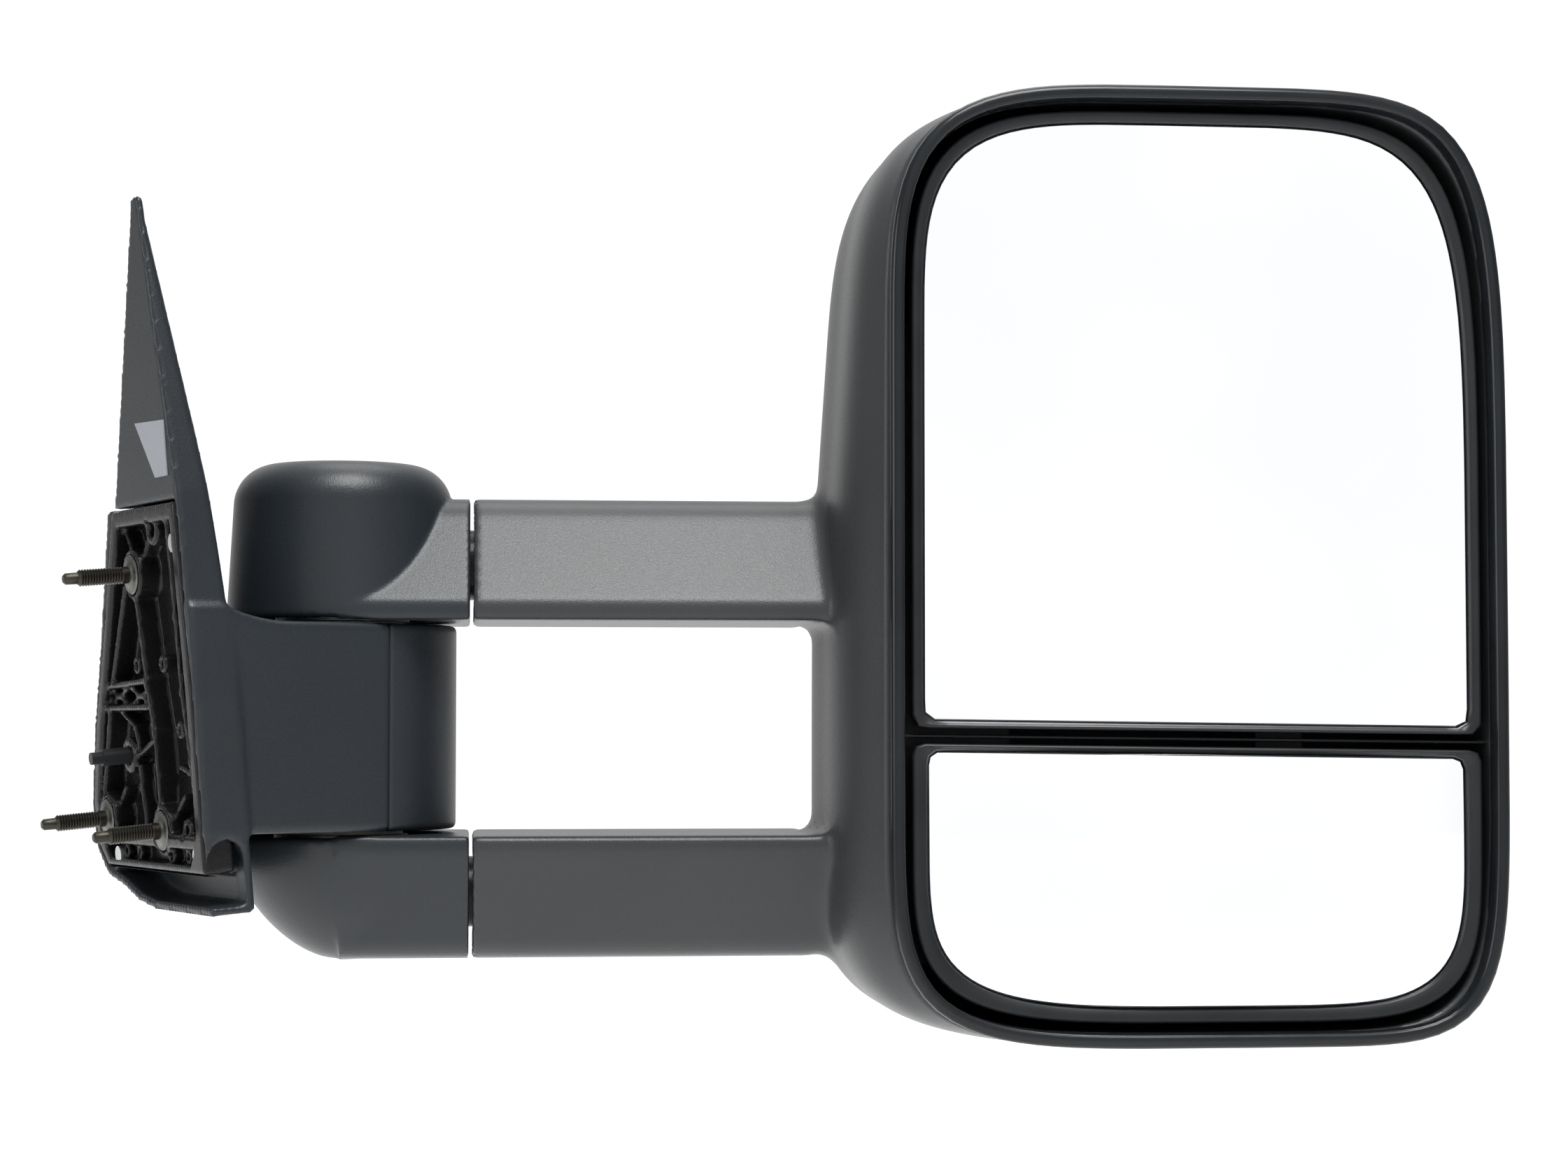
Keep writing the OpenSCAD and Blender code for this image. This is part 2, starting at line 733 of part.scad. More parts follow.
// Ring with two upright and two level pins, so that the glass both pans and tilts
module gimbal_ring(z) {
    translate([gimbal_x, gimbal_y, z]) {
        rotate([90, 0, 0]) rotate_extrude($fn = 72) translate([ring_r - 3.5, -2.5]) square([3.5, 5]);
        for (a = [0, 90, 180, 270]) rotate([0, a, 0]) translate([0, 0, ring_r - 1])
            cylinder(r = gimbal_pin_r, h = 6.5, $fn = 36);
    }
}

module upper_gimbal_ring() {
    color([0.8, 0.8, 0.78]) about_pivot() gimbal_ring(upper_z);
}

module lower_gimbal_ring() {
    color([0.8, 0.8, 0.78]) about_pivot() gimbal_ring(lower_z);
}

// Tray that holds a glass, with two ears behind it for the gimbal ring's level pins
module carrier(outer, inner, z) {
    difference() {
        union() {
            along_y(carrier_front, carrier_back) polygon(outline(outer));
            for (s = [-1, 1]) translate([gimbal_x + s * 18.5, 0, z])
                block([-2.5, carrier_back - 1, -4], [2.5, gimbal_y + 3, 4]);
        }
        along_y(carrier_front - 1, seat_y) polygon(outline(inner));
        translate([gimbal_x - 24, gimbal_y, z]) rotate([0, 90, 0])
            cylinder(r = gimbal_pin_r + run_fit, h = 48, $fn = 36);
    }
}

module upper_carrier() {
    color([0.04, 0.04, 0.045]) about_pivot() carrier(
        upper_corners(carrier_inset, 0), upper_corners(carrier_inset + lip_w, cut_lip), upper_z
    );
}

module lower_carrier() {
    color([0.04, 0.04, 0.045]) about_pivot() carrier(
        lower_corners(carrier_inset, 0), lower_corners(carrier_inset + lower_lip_w, cut_lip), lower_z
    );
}

module upper_mirror_glass() {
    color([0.9, 0.91, 0.95]) about_pivot() along_y(seat_y - glass_t, seat_y)
        polygon(outline(upper_corners(carrier_inset + lip_w + 0.2, cut_lip + 0.2)));
}

// Half section of the convex glass: radius and depth behind its crown
module convex_profile() {
    reach = 112;
    polygon([
        for (i = [0 : 10]) let (x = reach * i / 10) [x, convex_r - sqrt(convex_r * convex_r - x * x)],
        [reach, 12], [0, 12]
    ]);
}

module lower_mirror_glass() {
    color([0.9, 0.91, 0.95]) about_pivot() intersection() {
        along_y(seat_y - 8, seat_y)
            polygon(outline(lower_corners(carrier_inset + lower_lip_w + 0.2, cut_lip + 0.2)));
        translate([gimbal_x, seat_y - 6, lower_z]) rotate([-90, 0, 0])
            rotate_extrude($fn = 180) convex_profile();
    }
}

mount_bracket();
base_cover();
barrel_cover();
mount_studs();
locator_plug();
label_plate();
cover_screws();
upper_pivot_bush();
lower_pivot_bush();
pivot_shaft();
upper_arm_casting();
lower_arm_casting();
pivot_cap();
lower_arm_cover();
upper_arm_tube();
lower_arm_tube();
tube_pins();
tube_stops();
detent_spring();
spring_washers();
pivot_nut();
head_housing();
bezel();
head_frame();
frame_screws();
mouth_bushes();
frame_bushes();
friction_clips();
upper_adjuster_base();
lower_adjuster_base();
upper_gimbal_ring();
lower_gimbal_ring();
upper_carrier();
lower_carrier();
upper_mirror_glass();
lower_mirror_glass();
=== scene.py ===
"""Looks of a towing mirror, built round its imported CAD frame."""

import json
import math

import bmesh
import bpy
import numpy as np
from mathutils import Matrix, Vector


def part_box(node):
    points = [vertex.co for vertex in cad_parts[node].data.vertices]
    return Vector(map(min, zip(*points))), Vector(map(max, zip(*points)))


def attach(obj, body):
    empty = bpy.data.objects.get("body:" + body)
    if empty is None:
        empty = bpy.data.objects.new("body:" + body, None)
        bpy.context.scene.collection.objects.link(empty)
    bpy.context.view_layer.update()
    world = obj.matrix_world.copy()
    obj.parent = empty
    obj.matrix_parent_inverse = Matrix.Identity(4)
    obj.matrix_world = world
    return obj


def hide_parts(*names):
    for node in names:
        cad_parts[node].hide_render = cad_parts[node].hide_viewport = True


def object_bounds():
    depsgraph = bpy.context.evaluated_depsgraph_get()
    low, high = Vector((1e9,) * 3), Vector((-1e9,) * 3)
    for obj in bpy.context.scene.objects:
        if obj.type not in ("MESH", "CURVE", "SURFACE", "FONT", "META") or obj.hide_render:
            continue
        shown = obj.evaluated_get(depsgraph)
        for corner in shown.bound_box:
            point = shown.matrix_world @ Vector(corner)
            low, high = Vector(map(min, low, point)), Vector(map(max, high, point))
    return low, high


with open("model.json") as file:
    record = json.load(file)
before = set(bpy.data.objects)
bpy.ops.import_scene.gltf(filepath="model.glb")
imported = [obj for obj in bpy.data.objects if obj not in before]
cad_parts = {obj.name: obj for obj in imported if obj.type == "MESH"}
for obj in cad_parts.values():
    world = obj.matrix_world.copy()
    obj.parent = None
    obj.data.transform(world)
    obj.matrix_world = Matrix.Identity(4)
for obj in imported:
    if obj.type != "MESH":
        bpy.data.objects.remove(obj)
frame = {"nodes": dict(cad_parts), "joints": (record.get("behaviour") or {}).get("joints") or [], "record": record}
cad_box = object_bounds()

# ---------------------------------------------------------------- places read from the frame
MM = 0.001
joints = {j["name"]: j for j in frame["joints"]}
PIVOT = Vector(joints["fold"]["pos_m"])
door_axis = Vector(next(m["axis"] for m in frame["record"]["mounts"] if m["name"] == "door_face"))


def span(node):
    """A CAD node's box about the fold pivot, in millimetres."""
    low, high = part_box(node)
    return (Vector(low) - PIVOT) / MM, (Vector(high) - PIVOT) / MM


rim_low, rim_high = span("bezel")
cap_low, cap_high = span("pivot_cap")
barrel_low, barrel_high = span("barrel_cover")
lower_low, lower_high = span("lower_arm_cover")
house_low = span("head_housing")[0]
tray_low = span("upper_carrier")[0]
HEAD_L, HEAD_R, HEAD_B, HEAD_T = rim_low.x, rim_high.x, rim_low.z, rim_high.z
RIM_Y = rim_low.y
SHELL_BACK = 35.0
STUB_END = cap_high.x
SLEEVE_START = house_low.x
ARM_TOP = -lower_low.z
ARM_GAP = -lower_high.z
CAP_R = -cap_low.x
CAP_TOP = cap_high.z
BARREL_R = barrel_high.x
BASE_TOP, BASE_LOW = barrel_high.z, barrel_low.z
ARM_IN, ARM_OUT, ARM_BAND = 41.0, 16.0, 6.4
TUBE_Z = 59.0
TUBE_R = 12.7
TUBE_BORE = TUBE_R + 0.5
BORE_START = 20.0
COVER_WALL = 2.8
TRAY_FRONT, TRAY_BACK = tray_low.y, -63.0
SEAT_Y = -66.4
INSET, LIP, LOWER_LIP, CUT_LIP = 8.2, 4.0, 5.4, 2.4
DIVIDER_Z, DIVIDER_FALL, HALF_GAP = -2.7, 2.4, 2.7

# Frame of the door face: u off the door, v along it to the front, w up it
SWEEP = math.atan2(-door_axis.y, -door_axis.x)
LEAN = math.asin(-door_axis.z)
MOUNT_REACH = 72.5
MOUNT_REAR, MOUNT_FRONT = -48.5, 70.5
BRACKET_LOW, BRACKET_HIGH, BRACKET_T = -50.0, 77.0, 11.0
SAIL_TIP, SAIL_ROOT, SAIL_T, SAIL_TAPER = 183.0, 30.5, 16.5, math.radians(5.9)
SEAM = 0.9
TIP_V, SKIRT_LOW = -25.0, -64.0
STUDS = [(8, 54), (-4, -36), (54, -33)]
STUD_R, STUD_LEN = 3.0, 24.0
PLUG = (29.5, -10)
HUB_R, HUB_HALF, BUSH_BORE, COVER_BORE = 27.0, 34.9, 15.6, 24.0
# Height of each glass's gimbal, how far behind the rim it sits, and the convex glass's radius
UPPER_Z, LOWER_Z, GIMBAL_Y, EAR_X, CONVEX_R = 109.0, -53.0, -56.0, 18.5, 1200.0
DIVIDER_HALF = 0.65


# ---------------------------------------------------------------- materials
def new_material(name, colour, roughness, metallic=0.0):
    """A Principled material, with its node tree, shader and links."""
    mat = bpy.data.materials.new(name)
    mat.use_nodes = True
    tree = mat.node_tree
    shader = tree.nodes["Principled BSDF"]
    shader.inputs["Base Color"].default_value = (*colour, 1)
    shader.inputs["Roughness"].default_value = roughness
    shader.inputs["Metallic"].default_value = metallic
    return mat, tree, shader


def noise(tree, scale, detail=3.0, stretch=(1, 1, 1)):
    """A noise pattern in object space; scale is its features per metre."""
    coords = tree.nodes.new("ShaderNodeTexCoord")
    mapping = tree.nodes.new("ShaderNodeMapping")
    mapping.inputs["Scale"].default_value = stretch
    tex = tree.nodes.new("ShaderNodeTexNoise")
    tex.inputs["Scale"].default_value = scale
    tex.inputs["Detail"].default_value = detail
    tree.links.new(coords.outputs["Object"], mapping.inputs["Vector"])
    tree.links.new(mapping.outputs["Vector"], tex.inputs["Vector"])
    return tex.outputs["Fac"]


def ramp(tree, fac, stops):
    """A colour ramp over fac; stops are (place, colour)."""
    node = tree.nodes.new("ShaderNodeValToRGB")
    while len(node.color_ramp.elements) < len(stops):
        node.color_ramp.elements.new(0.5)
    for element, (place, colour) in zip(node.color_ramp.elements, stops):
        element.position = place
        element.color = (*colour, 1)
    tree.links.new(fac, node.inputs["Fac"])
    return node.outputs["Color"]


def vary(tree, fac, low, high, socket, start=0.3, stop=0.7):
    """Maps fac to low..high and links it to a shader socket."""
    node = tree.nodes.new("ShaderNodeMapRange")
    node.inputs["From Min"].default_value = start
    node.inputs["From Max"].default_value = stop
    node.inputs["To Min"].default_value = low
    node.inputs["To Max"].default_value = high
    tree.links.new(fac, node.inputs["Value"])
    tree.links.new(node.outputs["Result"], socket)


def bump(tree, shader, layers):
    """Bump from several heights; layers are (height, strength, distance in metres)."""
    normal = None
    for height, strength, distance in layers:
        node = tree.nodes.new("ShaderNodeBump")
        node.inputs["Strength"].default_value = strength
        node.inputs["Distance"].default_value = distance
        tree.links.new(height, node.inputs["Height"])
        if normal is not None:
            tree.links.new(normal, node.inputs["Normal"])
        normal = node.outputs["Normal"]
    tree.links.new(normal, shader.inputs["Normal"])


def edge_wear(tree):
    """High on convex edges, from the mesh's own shape."""
    return tree.nodes.new("ShaderNodeNewGeometry").outputs["Pointiness"]


def grained_plastic(name, tone, rough=0.5):
    """Moulded plastic with a fine leather-like grain; tone is its middle colour."""
    mat, tree, shader = new_material(name, tone, rough)
    coords = tree.nodes.new("ShaderNodeTexCoord")
    cells = tree.nodes.new("ShaderNodeTexVoronoi")
    cells.inputs["Scale"].default_value = 1500
    tree.links.new(coords.outputs["Object"], cells.inputs["Vector"])
    grain = noise(tree, 2600, 2)
    patches = noise(tree, 16, 3)
    dark = tuple(0.93 * c for c in tone)
    light = tuple(1.08 * c for c in tone)
    tree.links.new(ramp(tree, patches, [(0.3, dark), (0.7, light)]), shader.inputs["Base Color"])
    vary(tree, grain, rough - 0.06, rough + 0.06, shader.inputs["Roughness"])
    bump(tree, shader, [(cells.outputs["Distance"], 0.30, 0.00012), (grain, 0.25, 0.00008)])
    shader.inputs["Specular IOR Level"].default_value = 0.24
    return mat


def gloss_plastic(name, tone, rough=0.16):
    """Smooth black plastic with a faint orange peel and fine dust."""
    mat, tree, shader = new_material(name, tone, rough)
    haze = noise(tree, 40, 4)
    peel = noise(tree, 420, 1)
    vary(tree, haze, rough - 0.03, rough + 0.07, shader.inputs["Roughness"])
    tree.links.new(
        ramp(tree, haze, [(0.3, tone), (0.8, tuple(1.35 * c for c in tone))]), shader.inputs["Base Color"]
    )
    bump(tree, shader, [(peel, 0.05, 0.00015)])
    shader.inputs["Specular IOR Level"].default_value = 0.17
    return mat


def metal(name, colour, rough, brushed=(1, 1, 1), scale=900, depth=0.00006):
    """Bare or plated metal with fine scratches along one direction."""
    mat, tree, shader = new_material(name, colour, rough, 1.0)
    scratches = noise(tree, scale, 5, brushed)
    blotches = noise(tree, 90, 3)
    dark = tuple(0.78 * c for c in colour)
    tree.links.new(ramp(tree, blotches, [(0.3, dark), (0.7, colour)]), shader.inputs["Base Color"])
    vary(tree, scratches, rough - 0.08, rough + 0.1, shader.inputs["Roughness"])
    bump(tree, shader, [(scratches, 0.3, depth)])
    return mat


def painted_casting(name, tone, rough):
    """Gloss paint over a cast surface: soft lumps and a few worn edges."""
    mat, tree, shader = new_material(name, tone, rough)
    lumps = noise(tree, 260, 3)
    fine = noise(tree, 1600, 2)
    worn = ramp(tree, edge_wear(tree), [(0.5, tone), (0.62, tuple(1.8 * c + 0.003 for c in tone))])
    tree.links.new(worn, shader.inputs["Base Color"])
    vary(tree, fine, rough - 0.06, rough + 0.08, shader.inputs["Roughness"])
    shader.inputs["Specular IOR Level"].default_value = 0.15
    shader.inputs["Coat Weight"].default_value = 0.05
    shader.inputs["Coat Roughness"].default_value = 0.12
    bump(tree, shader, [(lumps, 0.25, 0.0004), (fine, 0.15, 0.0001)])
    return mat


def mirror_glass(name):
    """Silvered glass: a bright smooth reflection with a faint cool tint and a trace of haze."""
    mat, tree, shader = new_material(name, (0.93, 0.94, 0.97), 0.02, 1.0)
    haze = noise(tree, 9, 2)
    tree.links.new(
        ramp(tree, haze, [(0.35, (0.91, 0.925, 0.965)), (0.65, (0.955, 0.96, 0.975))]),
        shader.inputs["Base Color"],
    )
    vary(tree, haze, 0.015, 0.04, shader.inputs["Roughness"])
    shader.inputs["Coat Weight"].default_value = 0.3
    return mat


def satin_film(name, colour):
    """Printed silver film: a fine metallic fleck under a satin face."""
    mat, tree, shader = new_material(name, colour, 0.5, 0.15)
    fleck = noise(tree, 3500, 2)
    tree.links.new(
        ramp(tree, fleck, [(0.35, tuple(0.85 * c for c in colour)), (0.65, colour)]),
        shader.inputs["Base Color"],
    )
    vary(tree, fleck, 0.42, 0.58, shader.inputs["Roughness"])
    bump(tree, shader, [(fleck, 0.1, 0.00004)])
    return mat


def nylon(name, colour):
    """Natural nylon: a little light goes into it, and its face is slightly mottled."""
    mat, tree, shader = new_material(name, colour, 0.42)
    mottle = noise(tree, 130, 3)
    tree.links.new(
        ramp(tree, mottle, [(0.3, tuple(0.9 * c for c in colour)), (0.7, colour)]),
        shader.inputs["Base Color"],
    )
    shader.inputs["Subsurface Weight"].default_value = 0.15
    shader.inputs["Subsurface Scale"].default_value = 0.002
    bump(tree, shader, [(mottle, 0.12, 0.0002)])
    return mat


MATS = {
    "grained": grained_plastic("grained_plastic", (0.0095, 0.012, 0.0145), 0.38),
    # housing: the same grained plastic with its tone raised as painted light, for the head's left-lit inboard wall
    "housing": grained_plastic("housing_plastic_painted_lit", (0.018, 0.0195, 0.0205), 0.38),
    "gloss": gloss_plastic("gloss_black", (0.006, 0.007, 0.008), 0.2),
    "satin": gloss_plastic("carrier_black", (0.008, 0.009, 0.01), 0.32),
    "cast": painted_casting("cast_black", (0.004, 0.004, 0.0045), 0.3),
    "stud": metal("stud_plating", (0.035, 0.033, 0.027), 0.42, (1, 1, 1), 700),
    "flange": metal("flange_plating", (0.1, 0.1, 0.09), 0.4, (1, 1, 1), 500),
    "steel": metal("zinc_steel", (0.55, 0.56, 0.57), 0.34, (1, 8, 8), 300),
    "alloy": metal("cast_alloy", (0.45, 0.46, 0.48), 0.5, (1, 1, 1), 350, 0.0002),
    "tube": painted_casting("tube_coating", (0.014, 0.014, 0.015), 0.3),
    "nylon": nylon("nylon", (0.62, 0.6, 0.52)),
    "label": satin_film("label_film", (0.2, 0.21, 0.23)),
    "mirror": mirror_glass("mirror_glass"),
}


# ---------------------------------------------------------------- meshes
def piece(name, verts, faces, mat, body, replaced=(), smooth=True, sharp=None):
    """A mesh drawn about the fold pivot in millimetres, placed on a body."""
    mesh = bpy.data.meshes.new(name)
    points = np.asarray(verts, dtype=float) * MM + np.array(PIVOT)
    mesh.from_pydata(points.tolist(), [], [tuple(int(i) for i in f) for f in faces])
    mesh.update()
    bm = bmesh.new()
    bm.from_mesh(mesh)
    bmesh.ops.remove_doubles(bm, verts=bm.verts, dist=1e-6)
    bmesh.ops.recalc_face_normals(bm, faces=bm.faces)
    bm.to_mesh(mesh)
    bm.free()
    for poly in mesh.polygons:
        poly.use_smooth = smooth
    if sharp is not None:
        mesh.set_sharp_from_angle(angle=math.radians(sharp))
    mesh.materials.append(mat)
    obj = bpy.data.objects.new(name, mesh)
    bpy.context.collection.objects.link(obj)
    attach(obj, body)
    if replaced:
        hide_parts(*replaced)
    return obj


def grid_axes(low, high, step):
    """Three axes of evenly spaced points from low to high."""
    return [np.arange(a, b + step, step) for a, b in zip(low, high)]


def surface(field, low, high, step):
    """Vertices and quads of a field's zero surface on a grid: one vertex in each crossed cell."""
    xs, ys, zs = grid_axes(low, high, step)
    X, Y, Z = np.meshgrid(xs, ys, zs, indexing="ij")
    values = field(X, Y, Z)
    shape = np.array(values.shape) - 1
    total = np.zeros((*shape, 3))
    count = np.zeros(shape)
    corners = [(i, j, k) for i in (0, 1) for j in (0, 1) for k in (0, 1)]

    def part(c):
        return values[c[0]:c[0] + shape[0], c[1]:c[1] + shape[1], c[2]:c[2] + shape[2]]

    for a in corners:
        for axis in range(3):
            if a[axis]:
                continue
            b = list(a)
            b[axis] = 1
            va, vb = part(a), part(b)
            crossed = (va < 0) != (vb < 0)
            t = np.where(crossed, va / np.where(crossed, va - vb, 1), 0)
            for i in range(3):
                total[..., i] += np.where(crossed, a[i] + (t if i == axis else 0), 0)
            count += crossed
    used = count > 0
    index = np.full(shape, -1)
    index[used] = np.arange(used.sum())
    cells = np.argwhere(used)
    verts = (cells + total[used] / count[used][:, None]) * step + np.array([xs[0], ys[0], zs[0]])
    quads = []
    for axis in range(3):
        lead = [slice(1, -1)] * 3
        lead[axis] = slice(0, -1)
        tail = [slice(1, -1)] * 3
        tail[axis] = slice(1, None)
        inside = values < 0
        crossed = inside[tuple(lead)] != inside[tuple(tail)]
        at = np.argwhere(crossed)
        for i in range(3):
            if i != axis:
                at[:, i] += 1
        u, v = [i for i in range(3) if i != axis]
        ring = []
        for du, dv in ((0, 0), (1, 0), (1, 1), (0, 1)):
            c = at.copy()
            c[:, u] -= du
            c[:, v] -= dv
            ring.append(index[c[:, 0], c[:, 1], c[:, 2]])
        quads.append(np.stack(ring, axis=1))
    return verts, np.concatenate(quads)


def meet(a, b, k=0.0):
    """Where both fields are inside, with edges rounded over about k."""
    if k == 0:
        return np.maximum(a, b)
    h = np.maximum(k - np.abs(a - b), 0)
    return np.maximum(a, b) + h * h / (4 * k)


def join(a, b, k=0.0):
    """Where either field is inside, with a fillet of about k."""
    return -meet(-a, -b, k)


def cut(a, b, k=0.0):
    """The first field less the second."""
    return meet(a, -b, k)


def slab(x, low, high):
    """Negative where x is between low and high."""
    return meet(low - x, x - high)


def plan_frame(X, Y):
    """Coordinates about the pivot, square to the door: away from it and along it."""
    return X * math.cos(SWEEP) + Y * math.sin(SWEEP), -X * math.sin(SWEEP) + Y * math.cos(SWEEP)


def door_frame(X, Y, Z):
    """Coordinates u, v, w of the door face."""
    x, v = plan_frame(X, Y)
    x = x + MOUNT_REACH
    return (
        x * math.cos(LEAN) + Z * math.sin(LEAN),
        v,
        -x * math.sin(LEAN) + Z * math.cos(LEAN),
    )


def from_door(u, v, w):
    """The point about the pivot at u, v, w of the door face."""
    x = u * math.cos(LEAN) - w * math.sin(LEAN) - MOUNT_REACH
    z = u * math.sin(LEAN) + w * math.cos(LEAN)
    return (
        x * math.cos(SWEEP) - v * math.sin(SWEEP),
        x * math.sin(SWEEP) + v * math.cos(SWEEP),
        z,
    )


# ---------------------------------------------------------------- outlines of the head
def head_corners(l, r, b, t):
    """The head's four superelliptic corners: centre, half-widths and exponent, from the top right."""
    w, h = r - l, t - b
    return [
        (l + 0.443 * w, b + 0.405 * h, 0.557 * w, 0.595 * h, 5.8),
        (l + 0.443 * w, b + 0.727 * h, 0.443 * w, 0.273 * h, 3.75),
        (l + 0.583 * w, b + 0.302 * h, 0.583 * w, 0.302 * h, 5),
        (l + 0.583 * w, b + 0.363 * h, 0.417 * w, 0.363 * h, 5.4),
    ]


RIM = head_corners(HEAD_L, HEAD_R, HEAD_B, HEAD_T)
CUT_R = 4.0


def upper_corners(inset, lip):
    """Corners of the upper carrier, drawn in by inset, with lip more along the divider."""
    z = DIVIDER_Z + HALF_GAP + lip + CUT_R
    side = inset + CUT_R
    return [
        (RIM[0][0], RIM[0][1], RIM[0][2] - inset, RIM[0][3] - inset, 5.5),
        (RIM[1][0], RIM[1][1], RIM[1][2] - inset, RIM[1][3] - inset, 4),
        (HEAD_L + side, z, CUT_R, CUT_R, 2),
        (HEAD_R - side, z - DIVIDER_FALL, CUT_R, CUT_R, 2),
    ]


def lower_corners(inset, lip):
    """Corners of the lower carrier, drawn in by inset, with lip more along the divider."""
    z = DIVIDER_Z - HALF_GAP - lip - CUT_R
    side = inset + CUT_R
    low = -30 - HEAD_B - inset
    return [
        (HEAD_R - side, z - DIVIDER_FALL, CUT_R, CUT_R, 2),
        (HEAD_L + side, z, CUT_R, CUT_R, 2),
        (RIM[2][0], -30, RIM[2][2] - inset, low, 4.7),
        (RIM[3][0], -30, RIM[3][2] - inset, low, 4.4),
    ]


def outline(corners, inset=0.0, steps=26):
    """Points round four corners, in X and Z."""
    points = []
    for q, (cx, cz, a, b, n) in enumerate(corners):
        for i in range(steps + 1):
            t = math.radians(90 * (q + i / steps))
            x = (a - inset) * abs(math.cos(t)) ** (2 / n)
            z = (b - inset) * abs(math.sin(t)) ** (2 / n)
            points.append((cx + (x if q in (0, 3) else -x), cz + (z if q < 2 else -z)))
    return spread(points, 4 * steps + 60)


def spread(points, count):
    """The closed loop's points, evenly spaced along it."""
    loop = np.array(points + points[:1])
    step = np.linalg.norm(np.diff(loop, axis=0), axis=1)
    along = np.concatenate([[0], np.cumsum(step)])
    at = np.linspace(0, along[-1], count, endpoint=False)
    return np.stack([np.interp(at, along, loop[:, 0]), np.interp(at, along, loop[:, 1])], axis=1)


def sweep_rings(rings, closed_tube):
    """Faces that join rings of equal length; a closed tube joins its last ring to its first."""
    count = len(rings[0])
    verts = np.concatenate(rings)
    faces = []
    turns = len(rings) if closed_tube else len(rings) - 1
    for r in range(turns):
        s = (r + 1) % len(rings)
        for i in range(count):
            j = (i + 1) % count
            faces.append((r * count + i, r * count + j, s * count + j, s * count + i))
    if not closed_tube:
        faces.append(tuple(range(count))[::-1])
        faces.append(tuple(range((len(rings) - 1) * count, len(rings) * count)))
    return verts, faces


def ring_at(loop, inset, y):
    """The outline moved inwards by inset along its own normals, at depth y."""
    ahead = np.roll(loop, -1, axis=0) - np.roll(loop, 1, axis=0)
    ahead /= np.linalg.norm(ahead, axis=1)[:, None]
    inward = np.stack([-ahead[:, 1], ahead[:, 0]], axis=1)
    moved = loop + inward * inset
    return np.stack([moved[:, 0], np.full(len(moved), y), moved[:, 1]], axis=1)


def arc(cx, cy, r, start, stop, steps=5):
    """Points of an arc as (inset, y), angles in degrees from the inward direction."""
    angles = np.radians(np.linspace(start, stop, steps + 1))
    return [(cx + r * math.cos(a), cy + r * math.sin(a)) for a in angles]


# ---------------------------------------------------------------- fields of the moulded parts
def superellipse_field(X, Z, corners, inset=0.0):
    """Roughly the distance to an outline of four superelliptic corners."""
    out = np.full(np.broadcast(X, Z).shape, -1e3)
    for q, (cx, cz, a, b, n) in enumerate(corners):
        sx = 1 if q in (0, 3) else -1
        sz = 1 if q < 2 else -1
        dx = np.maximum((X - cx) * sx, 0)
        dz = np.maximum((Z - cz) * sz, 0)
        a, b = a - inset, b - inset
        r = ((dx / a) ** n + (dz / b) ** n) ** (1 / n)
        rx = (dx / a) ** (n - 1) / a
        rz = (dz / b) ** (n - 1) / b
        slope = np.sqrt(rx * rx + rz * rz) / np.maximum(r, 1e-6) ** (n - 1)
        out = np.maximum(out, np.where(slope > 1e-9, (r - 1) / np.maximum(slope, 1e-9), -1e3))
    return out


def arm_field(X, Y, Z, d=0.0):
    """An upper arm's section, without ends, drawn inwards by d."""
    foot = ARM_GAP + ARM_BAND
    height = ARM_TOP - foot
    run = math.hypot(height, ARM_IN - ARM_OUT)
    slope = ((np.abs(Y) - ARM_IN) * height + (Z - foot) * (ARM_IN - ARM_OUT)) / run + d
    side = meet(slope, np.abs(Y) - ARM_IN + d, 1.2)
    top = Z - ARM_TOP + d
    low = ARM_GAP - Z + d
    return meet(meet(side, top, 8), low, 2.5)


def dome_field(X, Y, Z, d=0.0):
    """The domed cap: a slightly tapering drum with a rounded top edge."""
    r = 14 - d
    radius = CAP_R - 0.055 * (Z - ARM_GAP)
    wall = np.hypot(X, Y) - radius + d
    top = Z - CAP_TOP + d
    a, b = wall + r, top + r
    body = np.hypot(np.maximum(a, 0), np.maximum(b, 0)) + np.minimum(np.maximum(a, b), 0) - r
    return meet(body, ARM_GAP + 0.6 - Z, 2.5)


def pivot_cap_field(X, Y, Z):
    """The upper cap with its arm stub, hollow and bored for the tube."""
    stub = meet(meet(arm_field(X, Y, Z), X - STUB_END, 0.7), -X)
    solid = join(dome_field(X, Y, Z), stub, 0.6)
    room = join(dome_field(X, Y, Z, COVER_WALL), meet(arm_field(X, Y, Z, COVER_WALL), -X))
    hollow = meet(room, X - STUB_END + COVER_WALL)
    below = meet(np.hypot(X, Y) - CAP_R + COVER_WALL, Z - ARM_GAP - 6)
    bore = np.hypot(Y, Z - TUBE_Z) - TUBE_BORE
    return cut(cut(solid, join(hollow, below)), meet(bore, BORE_START - X))


def bowl_field(X, Y, Z, d=0.0):
    """The lower arm's bowl-shaped end, drawn as if it were the upper one."""
    n = 1.6
    a, b = CAP_R - 3.5 - d, ARM_TOP - ARM_GAP - 0.6 - d
    dx = np.maximum(np.hypot(X, Y) - 3, 0) / a
    dz = np.maximum(Z - ARM_GAP - 0.6, 0) / b
    m = np.maximum((dx ** n + dz ** n) ** (1 / n), 1e-4)
    slope = np.sqrt((dx ** (n - 1) / a) ** 2 + (dz ** (n - 1) / b) ** 2) / m ** (n - 1)
    return meet((m - 1) / np.maximum(slope, 1e-3), ARM_GAP + 0.6 + d - Z, 2.0)


